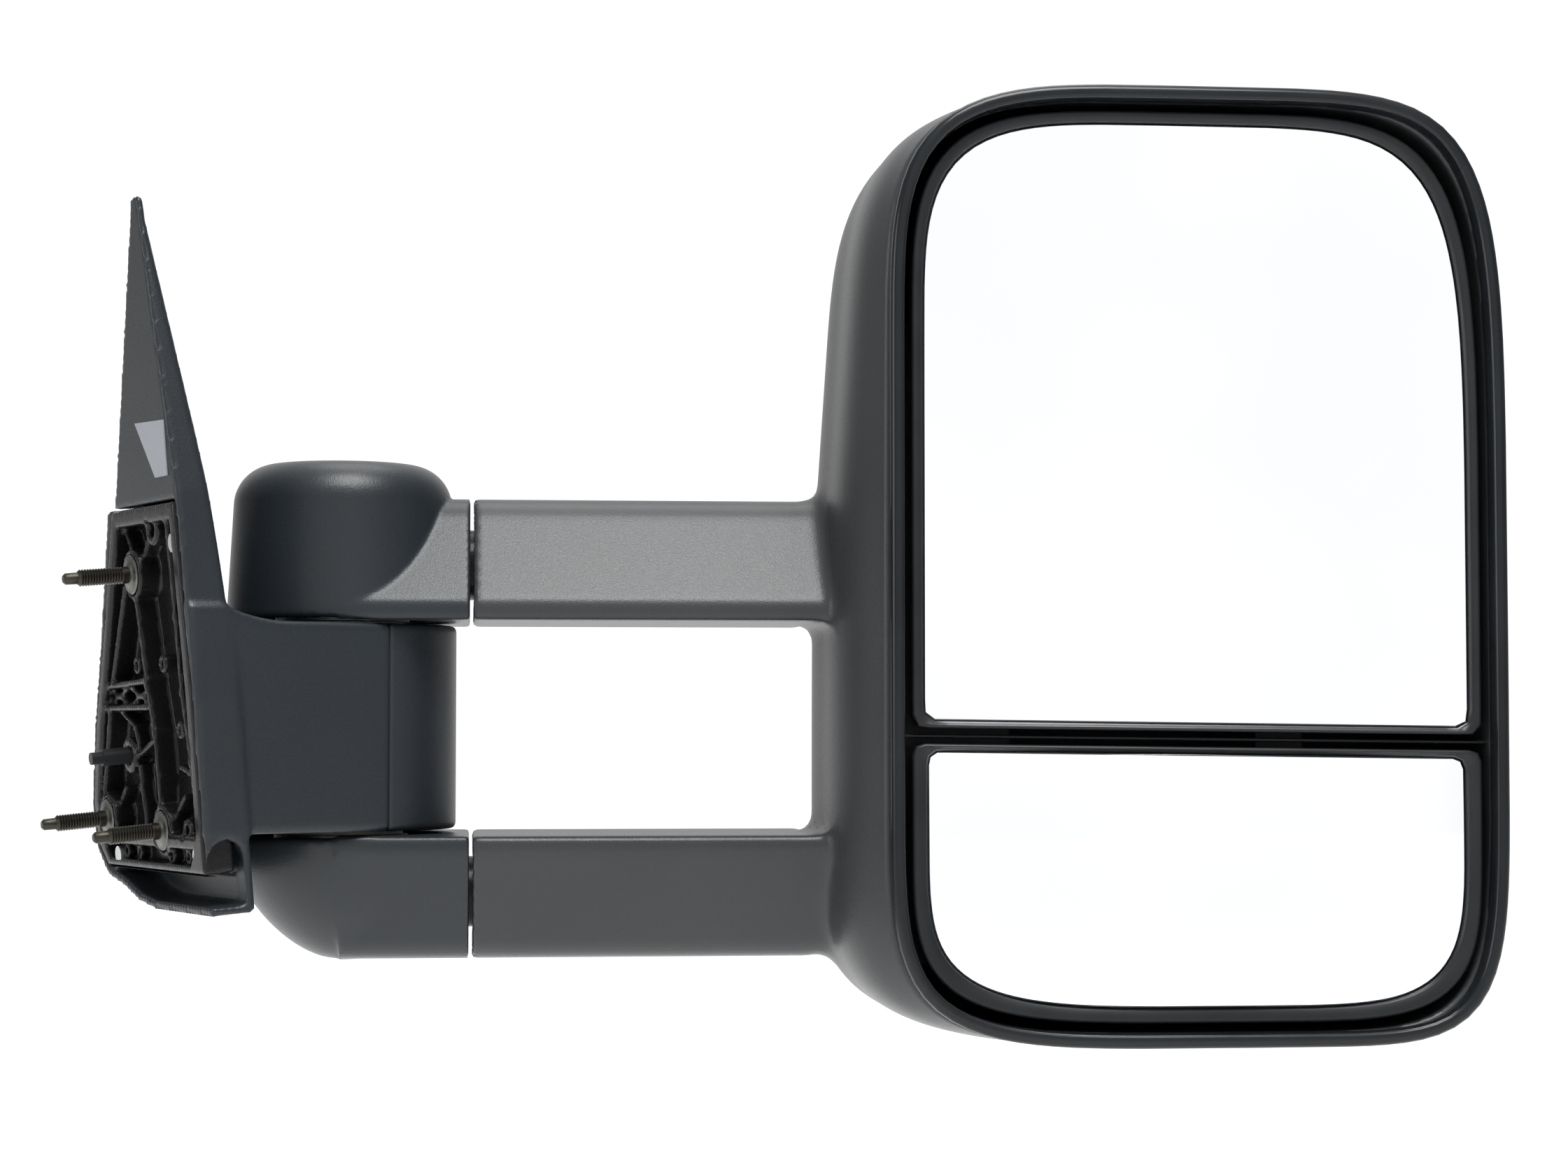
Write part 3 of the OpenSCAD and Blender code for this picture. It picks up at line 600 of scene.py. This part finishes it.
def lower_cover_field(X, Y, Z):
    """The lower cover with its arm stub, drawn as if it were the upper one."""
    stub = meet(meet(arm_field(X, Y, Z), X - STUB_END, 0.7), -X)
    solid = join(bowl_field(X, Y, Z), stub, 2)
    room = join(bowl_field(X, Y, Z, 3), meet(arm_field(X, Y, Z, 3), -X))
    hollow = meet(room, X - STUB_END + COVER_WALL)
    below = meet(np.hypot(X, Y) - 37, Z - ARM_GAP - 6)
    bore = np.hypot(Y, Z - TUBE_Z) - TUBE_BORE
    return cut(cut(solid, join(hollow, below)), meet(bore, BORE_START - X))


LEAN_FROM = 60
HOUSING_WALL = 5.0
# Where the sleeves start to taper into the shell, and where they end
ROOT_START, ROOT_END, TUNNEL_END = 168, 212, 176

# The shell's edges from the rim to the back: depth, then inboard, outboard, bottom and top,
# then how fast the upper inboard wall leans in
DEPTHS = [RIM_Y + 8, -55, -25, 2, 22, SHELL_BACK]
EDGES = np.array([
    [-0.4, 0, 0, 0, 0], [-11, 0, 0, 0, 0.04], [-18, -2, 1, 0, 0.075],
    [-19, -8, 5, -6, 0.075], [-11, -22, 16, -20, 0.075], [13, -50, 42, -48, 0.075],
]) + np.array([HEAD_L, HEAD_R, HEAD_B, HEAD_T, 0])


def smooth_through(y, depths, values):
    """Catmull-Rom curve through values at depths."""
    slopes = np.gradient(values, depths)
    i = np.clip(np.searchsorted(depths, y) - 1, 0, len(depths) - 2)
    x0, x1 = np.array(depths)[i], np.array(depths)[i + 1]
    t = np.clip((y - x0) / (x1 - x0), 0, 1.3)
    h = x1 - x0
    v0, v1 = values[i], values[i + 1]
    return (
        (2 * t ** 3 - 3 * t ** 2 + 1) * v0 + (t ** 3 - 2 * t ** 2 + t) * h * slopes[i]
        + (-2 * t ** 3 + 3 * t ** 2) * v1 + (t ** 3 - t ** 2) * h * slopes[i + 1]
    )


def shell_field(X, Y, Z, d=0.0):
    """The head's shell as a solid, drawn inwards by d."""
    out = np.empty(X.shape)
    height = Z[:, 0, :] - LEAN_FROM
    above = 0.5 * (height + np.sqrt(height ** 2 + 400))
    for j in range(X.shape[1]):
        y = float(np.clip(Y[0, j, 0] + 0.5 * d, DEPTHS[0], DEPTHS[-1]))
        l, r, b, t, k = (float(smooth_through(y, DEPTHS, EDGES[:, i])) for i in range(5))
        x = X[:, j, :]
        middle = (l + r) / 2
        x = x - k * above * np.clip((middle - x) / (middle - l), 0, 1)
        out[:, j, :] = superellipse_field(x, Z[:, j, :], head_corners(l + d, r - d, b + d, t - d))
    return meet(out, Y - SHELL_BACK + d, 26)


def housing_field(X, Y, Z):
    """The head's shell with its two sleeves, hollow all through."""
    taper = 0.25 * np.maximum(X - ROOT_START, 0)
    arms = arm_field(X, Y, np.abs(Z), taper)
    sleeves = meet(meet(arms, SLEEVE_START + 0.2 - X, 0.7), X - ROOT_END, 6)
    shell = meet(shell_field(X, Y, Z), DEPTHS[0] - Y, 0.6)
    solid = join(shell, sleeves, 8)
    cavity = shell_field(X, Y, Z, HOUSING_WALL)
    tunnel = meet(arm_field(X, Y, np.abs(Z), 3.2), X - TUNNEL_END)
    return cut(solid, join(cavity, tunnel, 4))


def polygon_field(V, W, points):
    """Distance to a closed polygon, negative inside."""
    near = np.full(V.shape, 1e9)
    inside = np.zeros(V.shape, dtype=bool)
    for (v0, w0), (v1, w1) in zip(points, points[1:] + points[:1]):
        dv, dw = v1 - v0, w1 - w0
        t = np.clip(((V - v0) * dv + (W - w0) * dw) / (dv * dv + dw * dw), 0, 1)
        near = np.minimum(near, (V - v0 - t * dv) ** 2 + (W - w0 - t * dw) ** 2)
        if dw:
            inside ^= ((W < w0) != (W < w1)) & (V < v0 + (W - w0) * dv / dw)
    return np.where(inside, -1, 1) * np.sqrt(near)


SAIL = [
    (MOUNT_REAR, SKIRT_LOW), (10, SKIRT_LOW), (26, SKIRT_LOW + 2), (42, BRACKET_LOW - 7),
    (58, BRACKET_LOW - 4), (MOUNT_FRONT - 1.5, -44), (MOUNT_FRONT, -28), (61, 1), (45, 36),
    (29, BRACKET_HIGH), (20.5, BRACKET_HIGH + 1), (TIP_V + 4, SAIL_TIP), (TIP_V - 2, SAIL_TIP),
    (MOUNT_REAR + 4, 80), (MOUNT_REAR, 10),
]
REAR, FRONT = MOUNT_REAR + 3, MOUNT_FRONT - 3.5
PLATE = [
    (REAR, BRACKET_LOW), (FRONT - 11, BRACKET_LOW), (FRONT - 2, -42), (FRONT, -28), (FRONT - 9, 0),
    (FRONT - 26, 35), (FRONT - 44, BRACKET_HIGH), (REAR + 4, BRACKET_HIGH), (REAR, 10),
]


# The room inside the skirt under the bracket, open at the rear
TROUGH = [(-60, -61), (9, -61), (25, -59), (41, -54), (57, -51), (57, -40), (-60, -40)]


def sail_field(X, Y, Z):
    """The sail and skirt: a wedge on the door face inside a triangular outline."""
    u, v, w = door_frame(X, Y, Z)
    outer = (u - SAIL_ROOT + math.tan(SAIL_TAPER) * (w + 90)) * math.cos(SAIL_TAPER)
    slab_side = np.minimum(meet(outer, u - SAIL_T, 6), u - 3.2)
    return meet(meet(polygon_field(v, w, SAIL), slab_side, 2.2), 0.5 - u, 0.5)


def block_field(X, Y, Z, d=0.0):
    """The base block in plan: its flat rear face runs into the round barrel."""
    x, v = plan_frame(X, Y)
    barrel = np.hypot(x, v) - BARREL_R + d
    fall = (BARREL_R + MOUNT_REAR) / (MOUNT_REACH - SAIL_T + 5)
    rear = meet((-v - BARREL_R - fall * (x - 4)) / math.hypot(1, fall), MOUNT_REAR - v, 3) + d
    front = v - BARREL_R + 0.012 * (x - 4) + d
    arm = meet(meet(rear, front), x - 4)
    u = (x + MOUNT_REACH) * math.cos(LEAN) + Z * math.sin(LEAN)
    rise = np.clip((-x - 38) / 24, 0, 1) ** 2 * 5
    plan = np.minimum(barrel, arm)
    return meet(meet(plan, Z - BASE_TOP - rise + d, 2.2), meet(BASE_LOW - Z + d, 0.5 - u), 2.2)


def bracket_room(X, Y, Z, grow):
    """The recess in the cover that takes the bracket."""
    u, v, w = door_frame(X, Y, Z)
    return meet(polygon_field(v, w, PLATE) - grow, u - BRACKET_T - grow, 1.0)


def base_field(X, Y, Z):
    """The sail, skirt and base block, hollowed under the bracket and open at the rear."""
    solid = join(sail_field(X, Y, Z), block_field(X, Y, Z), 2)
    u, v, w = door_frame(X, Y, Z)
    trough = meet(meet(polygon_field(v, w, TROUGH), u - SAIL_T + 3.2, 2.5), w - BRACKET_LOW + 1.2, 1)
    arch = meet(meet(np.hypot(u - 7.4, np.maximum(w + 45, 0)) - 6.0, -60.8 - w, 1), v + 41)
    return cut(cut(solid, join(trough, arch, 1), 0.8), bracket_room(X, Y, Z, 0.7))


def beyond_seam(X, Y, shift):
    """Negative outboard of the barrel's moulding seam, moved outboard by shift."""
    return SEAM + shift - plan_frame(X, Y)[0]


def base_cover_field(X, Y, Z):
    """The base up to the barrel's seam."""
    hub = meet(np.hypot(X, Y) - COVER_BORE, np.abs(Z) - 60)
    return cut(meet(base_field(X, Y, Z), -beyond_seam(X, Y, -0.1), 0.5), hub)


def barrel_cover_field(X, Y, Z):
    """The barrel beyond the seam, with a tongue that reaches behind it."""
    drum = meet(np.hypot(X, Y) - BARREL_R, meet(Z - BASE_TOP, BASE_LOW - Z), 2.2)
    inner = meet(np.hypot(X, Y) - BARREL_R + 4.5, np.abs(Z) - 33)
    drum = cut(cut(drum, inner), np.hypot(X, Y) - COVER_BORE)
    tongue = meet(np.hypot(X, Y) - BARREL_R + 1.3, np.abs(Z) - 34.6)
    return join(meet(drum, beyond_seam(X, Y, 0.1), 0.5), meet(drum, meet(tongue, beyond_seam(X, Y, -4))))


# The bracket's deep recess, and the ribs, walls and bosses that stand in it: (rear to front, up)
RECESS = [
    (-40.5, -38), (56, -38), (62, -27), (53, 0), (37, 35), (20, 72), (-37, 72), (-39, 40), (-40.5, 10),
]
TOE = [(-32, -47), (52, -47), (57, -42), (-36, -42)]
WALLS = [
    ((-30, 72), (-32, 38)), ((-32, 38), (-33, 12)), ((-33, 12), (-37, -12)), ((-37, -12), (-40, -38)),
    ((7, 46), (2, 14)), ((2, 14), (-2, -2)), ((-2, -2), (-3, -30)), ((18, 50), (39, 17)),
    ((45, 5), (58, -24)), ((52, 14.5), (2, 16.5)), ((54, 7), (3, 7)), ((-37, -40), (64, -41)),
]
STRUTS = [
    ((23, -10), (0, -3)), ((22.7, -14), (20, -36)), ((38, 5.4), (24, 0)), ((24, 0), (22, -8)),
    ((50, 14), (28, 8)), ((28, 14), (50, 8)), ((26, 14), (5, 8)), ((5, 14), (26, 8)),
    ((8, 54), (-10, 71)), ((8, 54), (20, 71)), ((-36, -10), (-29, -16)), ((-29, -16), (-20, -14)),
    ((-4, -36), (-22, -24)), ((54, -33), (40, -22)),
]
BOSSES = [(-12.5, 69, 6), (-26, -36, 4.5), (-26, -1, 3.2), (14, 22, 3.2), (-13, 22, 3.2), (29.5, -10, 6.5),
          (40, -44.5, 2.6), (26, -44.5, 2.6), (-8, -44.5, 3.2), (-25, -44.5, 2.6)]


def rib_field(V, W, a, b, width):
    """Distance in the face's plane to a straight rib from a to b."""
    d = np.array(b, dtype=float) - np.array(a)
    length = np.linalg.norm(d)
    d /= length
    along = np.clip((V - a[0]) * d[0] + (W - a[1]) * d[1], 0, length)
    return np.hypot(V - a[0] - along * d[0], W - a[1] - along * d[1]) - width / 2


def bracket_field(X, Y, Z):
    """The cast bracket: a plate with a ribbed recess, a neck and the pivot's hub."""
    u, v, w = door_frame(X, Y, Z)
    plate = meet(bracket_room(X, Y, Z, 0.0), -u, 1.2)
    floor = u - BRACKET_T + 2.0
    plate = cut(plate, meet(polygon_field(v, w, RECESS) + 1.0, floor, 2), 1.0)
    plate = cut(plate, meet(polygon_field(v, w, TOE) - 0.3, floor + 3, 1), 0.8)
    for a, b in WALLS:
        plate = join(plate, meet(rib_field(v, w, a, b, 2.2), slab(u, 0.8, BRACKET_T - 1), 0.8), 1.2)
    for a, b in STRUTS:
        plate = join(plate, meet(rib_field(v, w, a, b, 1.9), slab(u, 3.0, BRACKET_T - 1), 0.8), 1.2)
    for bv, bw, r in BOSSES:
        r_boss = np.hypot(v - bv, w - bw)
        boss = cut(meet(r_boss - r, slab(u, 1.8, BRACKET_T - 1), 0.8), meet(r_boss - 0.5 * r, u - 6), 0.5)
        plate = join(cut(plate, meet(r_boss - 0.5 * r, u - 6)), boss, 0.8)
    for bv, bw in STUDS:
        r_boss = np.hypot(v - bv, w - bw)
        plate = join(plate, meet(r_boss - 8.8, slab(u, 0.4, BRACKET_T - 1), 1.0), 1.2)
    hub = meet(np.hypot(X, Y) - HUB_R, np.abs(Z) - HUB_HALF)
    x, y = plan_frame(X, Y)
    neck = meet(meet(np.abs(y) - 22, slab(Z, -26, 30)), slab(x, -MOUNT_REACH + 10, -20))
    solid = join(plate, join(hub, neck, 4))
    for bv, bw in STUDS:
        solid = cut(solid, meet(np.hypot(v - bv, w - bw) - 7.3, u - 2.2))
    solid = cut(solid, meet(np.hypot(v - PLUG[0], w - PLUG[1]) - 3.2, u - 7.2))
    return cut(solid, np.hypot(X, Y) - BUSH_BORE)


def moulding(name, field, low, high, step, mat, body, replaced):
    """A moulded part from its field."""
    verts, faces = surface(field, low, high, step)
    return piece(name, verts, faces, mat, body, replaced)


def lathe(name, origin, axis, profile, mat, body, replaced=(), steps=32, sharp=40):
    """A turned part: profile is (distance along axis, radius), from one end to the other."""
    axis = Vector(axis).normalized()
    side = axis.orthogonal().normalized()
    other = axis.cross(side)
    rings = []
    for along, r in profile:
        ring = []
        for i in range(steps):
            a = 2 * math.pi * i / steps
            p = Vector(origin) + axis * along + (side * math.cos(a) + other * math.sin(a)) * max(r, 0.01)
            ring.append(tuple(p))
        rings.append(np.array(ring))
    verts, faces = sweep_rings(rings, False)
    return piece(name, verts, faces, mat, body, replaced, sharp=sharp)


def make_base():
    """The covers, bracket, studs and label."""
    room = 4
    moulding(
        "base_cover_moulding", base_cover_field, (-118, -84, SKIRT_LOW - 8), (46, 50, SAIL_TIP + room), 1.2,
        MATS["grained"], "base", ["base_cover"],
    )
    moulding(
        "barrel_cover_moulding", barrel_cover_field, (-34, -46, BASE_LOW - room), (46, 46, BASE_TOP + room),
        1.0, MATS["grained"], "base", ["barrel_cover"],
    )
    moulding(
        "bracket_casting", bracket_field, (-112, -78, -60), (30, 46, 82), 0.9,
        MATS["cast"], "base", ["mount_bracket"],
    )
    out = [-c for c in from_door(1, 0, 0)]
    base = from_door(0, 0, 0)
    out = Vector((base[0] + out[0], base[1] + out[1], base[2] + out[2])).normalized()
    for i, (v, w) in enumerate(STUDS):
        origin = from_door(0, v, w)
        profile = [(-1.6, STUD_R), (2.0, STUD_R)]
        z = 3.0
        while z < STUD_LEN - 6:
            profile += [(z, STUD_R), (z + 0.5, STUD_R - 0.5)]
            z += 1.0
        profile += [(z, STUD_R), (z + 1, 2.1), (STUD_LEN - 0.8, 2.0), (STUD_LEN, 1.3)]
        lathe(f"stud_shank_{i + 1}", origin, out, profile, MATS["stud"], "base", ["mount_studs"])
        flange = [(-2.0, 6.8), (-0.5, 7.0), (0.0, 6.6), (0.2, 4.6), (0.6, 4.0), (0.9, 3.05)]
        lathe(f"stud_flange_{i + 1}", origin, out, flange, MATS["flange"], "base")
    corners = [(-38, 86), (-26, 86), (-9, 106), (-38, 105)]
    make_plate("label_film", corners, 0.05, 0.5, MATS["label"], ["label_plate"])


def make_plate(name, corners, low, high, mat, replaced):
    """A thin flat plate on the door face, between heights low and high off it."""
    loops = [np.array([from_door(u, v, w) for v, w in corners]) for u in (high, low)]
    verts, faces = sweep_rings(loops, False)
    return piece(name, verts, faces, mat, "base", replaced, smooth=False)


def make_arms():
    """The cap and the lower cover, each with its stub."""
    low, high = (-46, -46, 34), (STUB_END + 4, 46, CAP_TOP + 4)
    moulding(
        "pivot_cap_moulding", pivot_cap_field, low, high, 1.1,
        MATS["grained"], "arms", ["pivot_cap"],
    )
    verts, faces = surface(lower_cover_field, low, (STUB_END + 4, 46, ARM_TOP + 4), 1.1)
    verts[:, 2] *= -1
    piece("lower_arm_moulding", verts, faces, MATS["grained"], "arms", ["lower_arm_cover"])


def make_bezel():
    """The rim: a rounded gloss face, a slope into the groove and a skirt behind it, with the divider."""
    loop = outline(RIM)
    face = [(0.0, RIM_Y + 7.6), (0.0, RIM_Y + 4.0)]
    face += arc(2.6, RIM_Y + 2.6, 2.6, 180, 270, 6)
    face += arc(3.4, RIM_Y + 1.4, 1.4, 270, 350, 4)
    face += [
        (4.9, RIM_Y + 6), (4.7, RIM_Y + 22), (4.7, -51), (4.1, -51), (4.1, RIM_Y + 8.4), (4.0, RIM_Y + 7.6),
    ]
    rings = [ring_at(loop, inset, y) for inset, y in face]
    verts, faces = sweep_rings(rings, True)
    piece("bezel_rim", verts, faces, MATS["gloss"], "head", ["bezel"], sharp=50)
    half = DIVIDER_HALF
    profile = [
        (-65.4, half), (-66, half - 0.35), (-66, -half + 0.35), (-65.4, -half), (-50, -half), (-50, half),
    ]
    ends = []
    for x, z in ((HEAD_L + 4.6, DIVIDER_Z), (HEAD_R - 4.6, DIVIDER_Z - DIVIDER_FALL)):
        ends.append(np.array([(x, y, z + h) for y, h in profile]))
    verts, faces = sweep_rings(ends, False)
    piece("bezel_divider", verts, faces, MATS["gloss"], "head", sharp=30)


def make_head():
    """The housing and its rim."""
    # The housing takes the raised-tone plastic: painted light for its left-lit inboard wall
    moulding(
        "head_housing_moulding", housing_field,
        (SLEEVE_START - 4, -76, HEAD_B - 5), (HEAD_R + 6, 48, HEAD_T + 6), 1.7,
        MATS["housing"], "head", ["head_housing"],
    )
    make_bezel()


def make_tray(name, corners, lip_w, node, body, z):
    """A glass carrier: a rounded lip round the glass, a flat back and two ears for its pins."""
    loop = outline(corners(INSET, 0.0))
    seat = outline(corners(INSET + lip_w, CUT_LIP))
    front = [(0.0, TRAY_BACK), (0.0, TRAY_FRONT + 1.5)]
    front += arc(1.1, TRAY_FRONT + 1.1, 1.1, 180, 270, 4)
    rings = [ring_at(loop, 2.0, TRAY_BACK)] + [ring_at(loop, inset, y) for inset, y in front]
    lip = [(-1.0, TRAY_FRONT + 0.5), (-0.5, TRAY_FRONT + 1.0), (0.0, TRAY_FRONT + 1.9), (0.0, SEAT_Y)]
    rings += [ring_at(seat, inset, y) for inset, y in lip]
    verts, faces = sweep_rings(rings, False)
    tray = piece(name, verts, faces, MATS["satin"], body, [node], sharp=40)
    middle = (HEAD_L + HEAD_R) / 2
    for side in (-1, 1):
        x = middle + side * EAR_X
        lathe(
            f"{name}_ear_{'b' if side > 0 else 'a'}", (x - 2.5, GIMBAL_Y, z), (1, 0, 0),
            [(0, 1.6), (0, 3.6), (0.4, 4.0), (4.6, 4.0), (5.0, 3.6), (5.0, 1.6)],
            MATS["satin"], body,
        )
        web_low, web_high = (x - 2.5, -58, z - 4), (x + 2.5, TRAY_BACK + 0.5, z + 4)
        points = [
            (web_low[0] if i else web_high[0], y, zz)
            for i in (0, 1) for y, zz in (
                (web_low[1], web_low[2]), (web_high[1], web_low[2] - 1.5),
                (web_high[1], web_high[2] + 1.5), (web_low[1], web_high[2]))
        ]
        rings = [np.array(points[:4]), np.array(points[4:])]
        verts, faces = sweep_rings(rings, False)
        piece(f"{name}_web_{'b' if side > 0 else 'a'}", verts, faces, MATS["satin"], body,
              smooth=False)
    return tray


def make_pane(name, corners, lip_w, node, body, radius, z):
    """A mirror glass with a ground edge; radius is its front's curve, or 0 where it is flat."""
    loop = outline(corners(INSET + lip_w + 0.25, CUT_LIP + 0.25))
    centre = np.array([(HEAD_L + HEAD_R) / 2, z])
    front_y = SEAT_Y - (6.0 if radius else 2.2)

    def depth(points):
        if not radius:
            return np.full(len(points), front_y)
        r = np.linalg.norm(points - centre, axis=1)
        return front_y + radius - np.sqrt(radius ** 2 - r ** 2)

    rings = [ring_at(loop, 0, SEAT_Y - 0.05)]
    edge = ring_at(loop, 0, 0)
    edge[:, 1] = depth(edge[:, [0, 2]]) + 0.5
    rings.append(edge)
    bevel = ring_at(loop, 0.5, 0)
    bevel[:, 1] = depth(bevel[:, [0, 2]])
    rings.append(bevel)
    for part in (0.9, 0.75, 0.6, 0.45, 0.3, 0.15):
        flat = centre + (bevel[:, [0, 2]] - centre) * part
        rings.append(np.stack([flat[:, 0], depth(flat), flat[:, 1]], axis=1))
    verts, faces = sweep_rings(rings, False)
    return piece(name, verts, faces, MATS["mirror"], body, [node], sharp=30)


def make_glasses():
    """Both carriers and both glasses."""
    make_tray("upper_glass_tray", upper_corners, LIP, "upper_carrier", "upper_glass", UPPER_Z)
    make_tray("lower_glass_tray", lower_corners, LOWER_LIP, "lower_carrier", "lower_glass", LOWER_Z)
    make_pane("upper_flat_glass", upper_corners, LIP, "upper_mirror_glass", "upper_glass", 0, UPPER_Z)
    make_pane(
        "lower_convex_glass", lower_corners, LOWER_LIP, "lower_mirror_glass", "lower_glass", CONVEX_R, LOWER_Z,
    )


def finish_cad_nodes():
    """Gives every CAD node that stays in view its own detailed material."""
    looks = {
        "locator_plug": "satin", "cover_screws": "steel", "upper_pivot_bush": "nylon",
        "lower_pivot_bush": "nylon", "pivot_shaft": "steel", "upper_arm_casting": "alloy",
        "lower_arm_casting": "alloy", "upper_arm_tube": "tube", "lower_arm_tube": "tube",
        "tube_pins": "steel", "tube_stops": "satin", "detent_spring": "steel",
        "spring_washers": "steel", "pivot_nut": "steel", "head_frame": "tube", "frame_screws": "steel",
        "mouth_bushes": "satin", "frame_bushes": "nylon", "friction_clips": "steel",
        "upper_adjuster_base": "satin", "lower_adjuster_base": "satin",
        "upper_gimbal_ring": "nylon", "lower_gimbal_ring": "nylon",
    }
    for node, look in looks.items():
        for place in frame["nodes"][node].material_slots:
            place.material = MATS[look]


# ---------------------------------------------------------------- studio
CAMERA_FOOT = Vector((45, -1175, 0))
AIM = Vector((153, -75, 51.4))
LENS = 74.0
WORLD = 1.06


def make_studio():
    """White world, pale floor, three soft lights and the camera."""
    scene = bpy.context.scene
    world = bpy.data.worlds.new("studio")
    scene.world = world
    world.use_nodes = True
    back = world.node_tree.nodes["Background"]
    back.inputs["Color"].default_value = (1.0, 1.0, 1.0, 1)
    tree = world.node_tree
    parts = tree.nodes.new("ShaderNodeSeparateXYZ")
    tree.links.new(tree.nodes.new("ShaderNodeTexCoord").outputs["Generated"], parts.inputs[0])
    sideways = tree.nodes.new("ShaderNodeMath")
    sideways.operation = "ABSOLUTE"
    tree.links.new(parts.outputs["X"], sideways.inputs[0])
    fade = tree.nodes.new("ShaderNodeMapRange")
    fade.inputs["From Min"].default_value = 0.42
    fade.inputs["From Max"].default_value = 0.72
    fade.inputs["To Min"].default_value = WORLD
    fade.inputs["To Max"].default_value = 0.28
    tree.links.new(sideways.outputs[0], fade.inputs["Value"])
    seen = tree.nodes.new("ShaderNodeMix")
    seen.inputs["B"].default_value = WORLD
    tree.links.new(tree.nodes.new("ShaderNodeLightPath").outputs["Is Camera Ray"], seen.inputs["Factor"])
    tree.links.new(fade.outputs["Result"], seen.inputs["A"])
    tree.links.new(seen.outputs["Result"], back.inputs["Strength"])

    mesh = bpy.data.meshes.new("floor")
    size = 40
    square = [(-size, -size, 0), (size, -size, 0), (size, size, 0), (-size, size, 0)]
    mesh.from_pydata(square, [], [(0, 1, 2, 3)])
    floor = bpy.data.objects.new("floor", mesh)
    floor.location.z = cad_box[0].z - 0.3
    bpy.context.collection.objects.link(floor)
    mat, tree, shader = new_material("pale_floor", (0.95, 0.95, 0.95), 0.9)
    cloud = noise(tree, 2, 2)
    tree.links.new(ramp(tree, cloud, [(0.3, (0.94, 0.94, 0.94)), (0.7, (0.96, 0.96, 0.96))]),
                   shader.inputs["Base Color"])
    shader.inputs["Emission Color"].default_value = (1, 1, 1, 1)
    shader.inputs["Emission Strength"].default_value = 0.3
    mesh.materials.append(mat)

    for name, place, target, size, power in (
        ("key", (0.3, -0.85, 1.55), (0.25, 0, 0.05), 1.0, 60),
        ("left", (-1.5, -0.5, 0.35), (0.2, 0, 0.05), 0.9, 12),
        ("top", (0.2, 0.5, 1.6), (0.25, 0, 0), 1.0, 10),
    ):
        data = bpy.data.lights.new(name, "AREA")
        data.shape = "DISK"
        data.size = size
        data.energy = power
        lamp = bpy.data.objects.new(name, data)
        lamp.location = place
        lamp.rotation_mode = "QUATERNION"
        lamp.rotation_quaternion = (Vector(target) - Vector(place)).to_track_quat("-Z", "Y")
        bpy.context.collection.objects.link(lamp)

    data = bpy.data.cameras.new("camera")
    data.lens = LENS
    data.clip_end = 200
    camera = bpy.data.objects.new("camera", data)
    camera.location = PIVOT + CAMERA_FOOT * MM
    camera.rotation_mode = "QUATERNION"
    camera.rotation_quaternion = (AIM - CAMERA_FOOT).to_track_quat("-Z", "Y")
    bpy.context.collection.objects.link(camera)
    scene.camera = camera
    scene.view_settings.view_transform = "Standard"


make_base()
make_arms()
make_head()
make_glasses()
finish_cad_nodes()
make_studio()
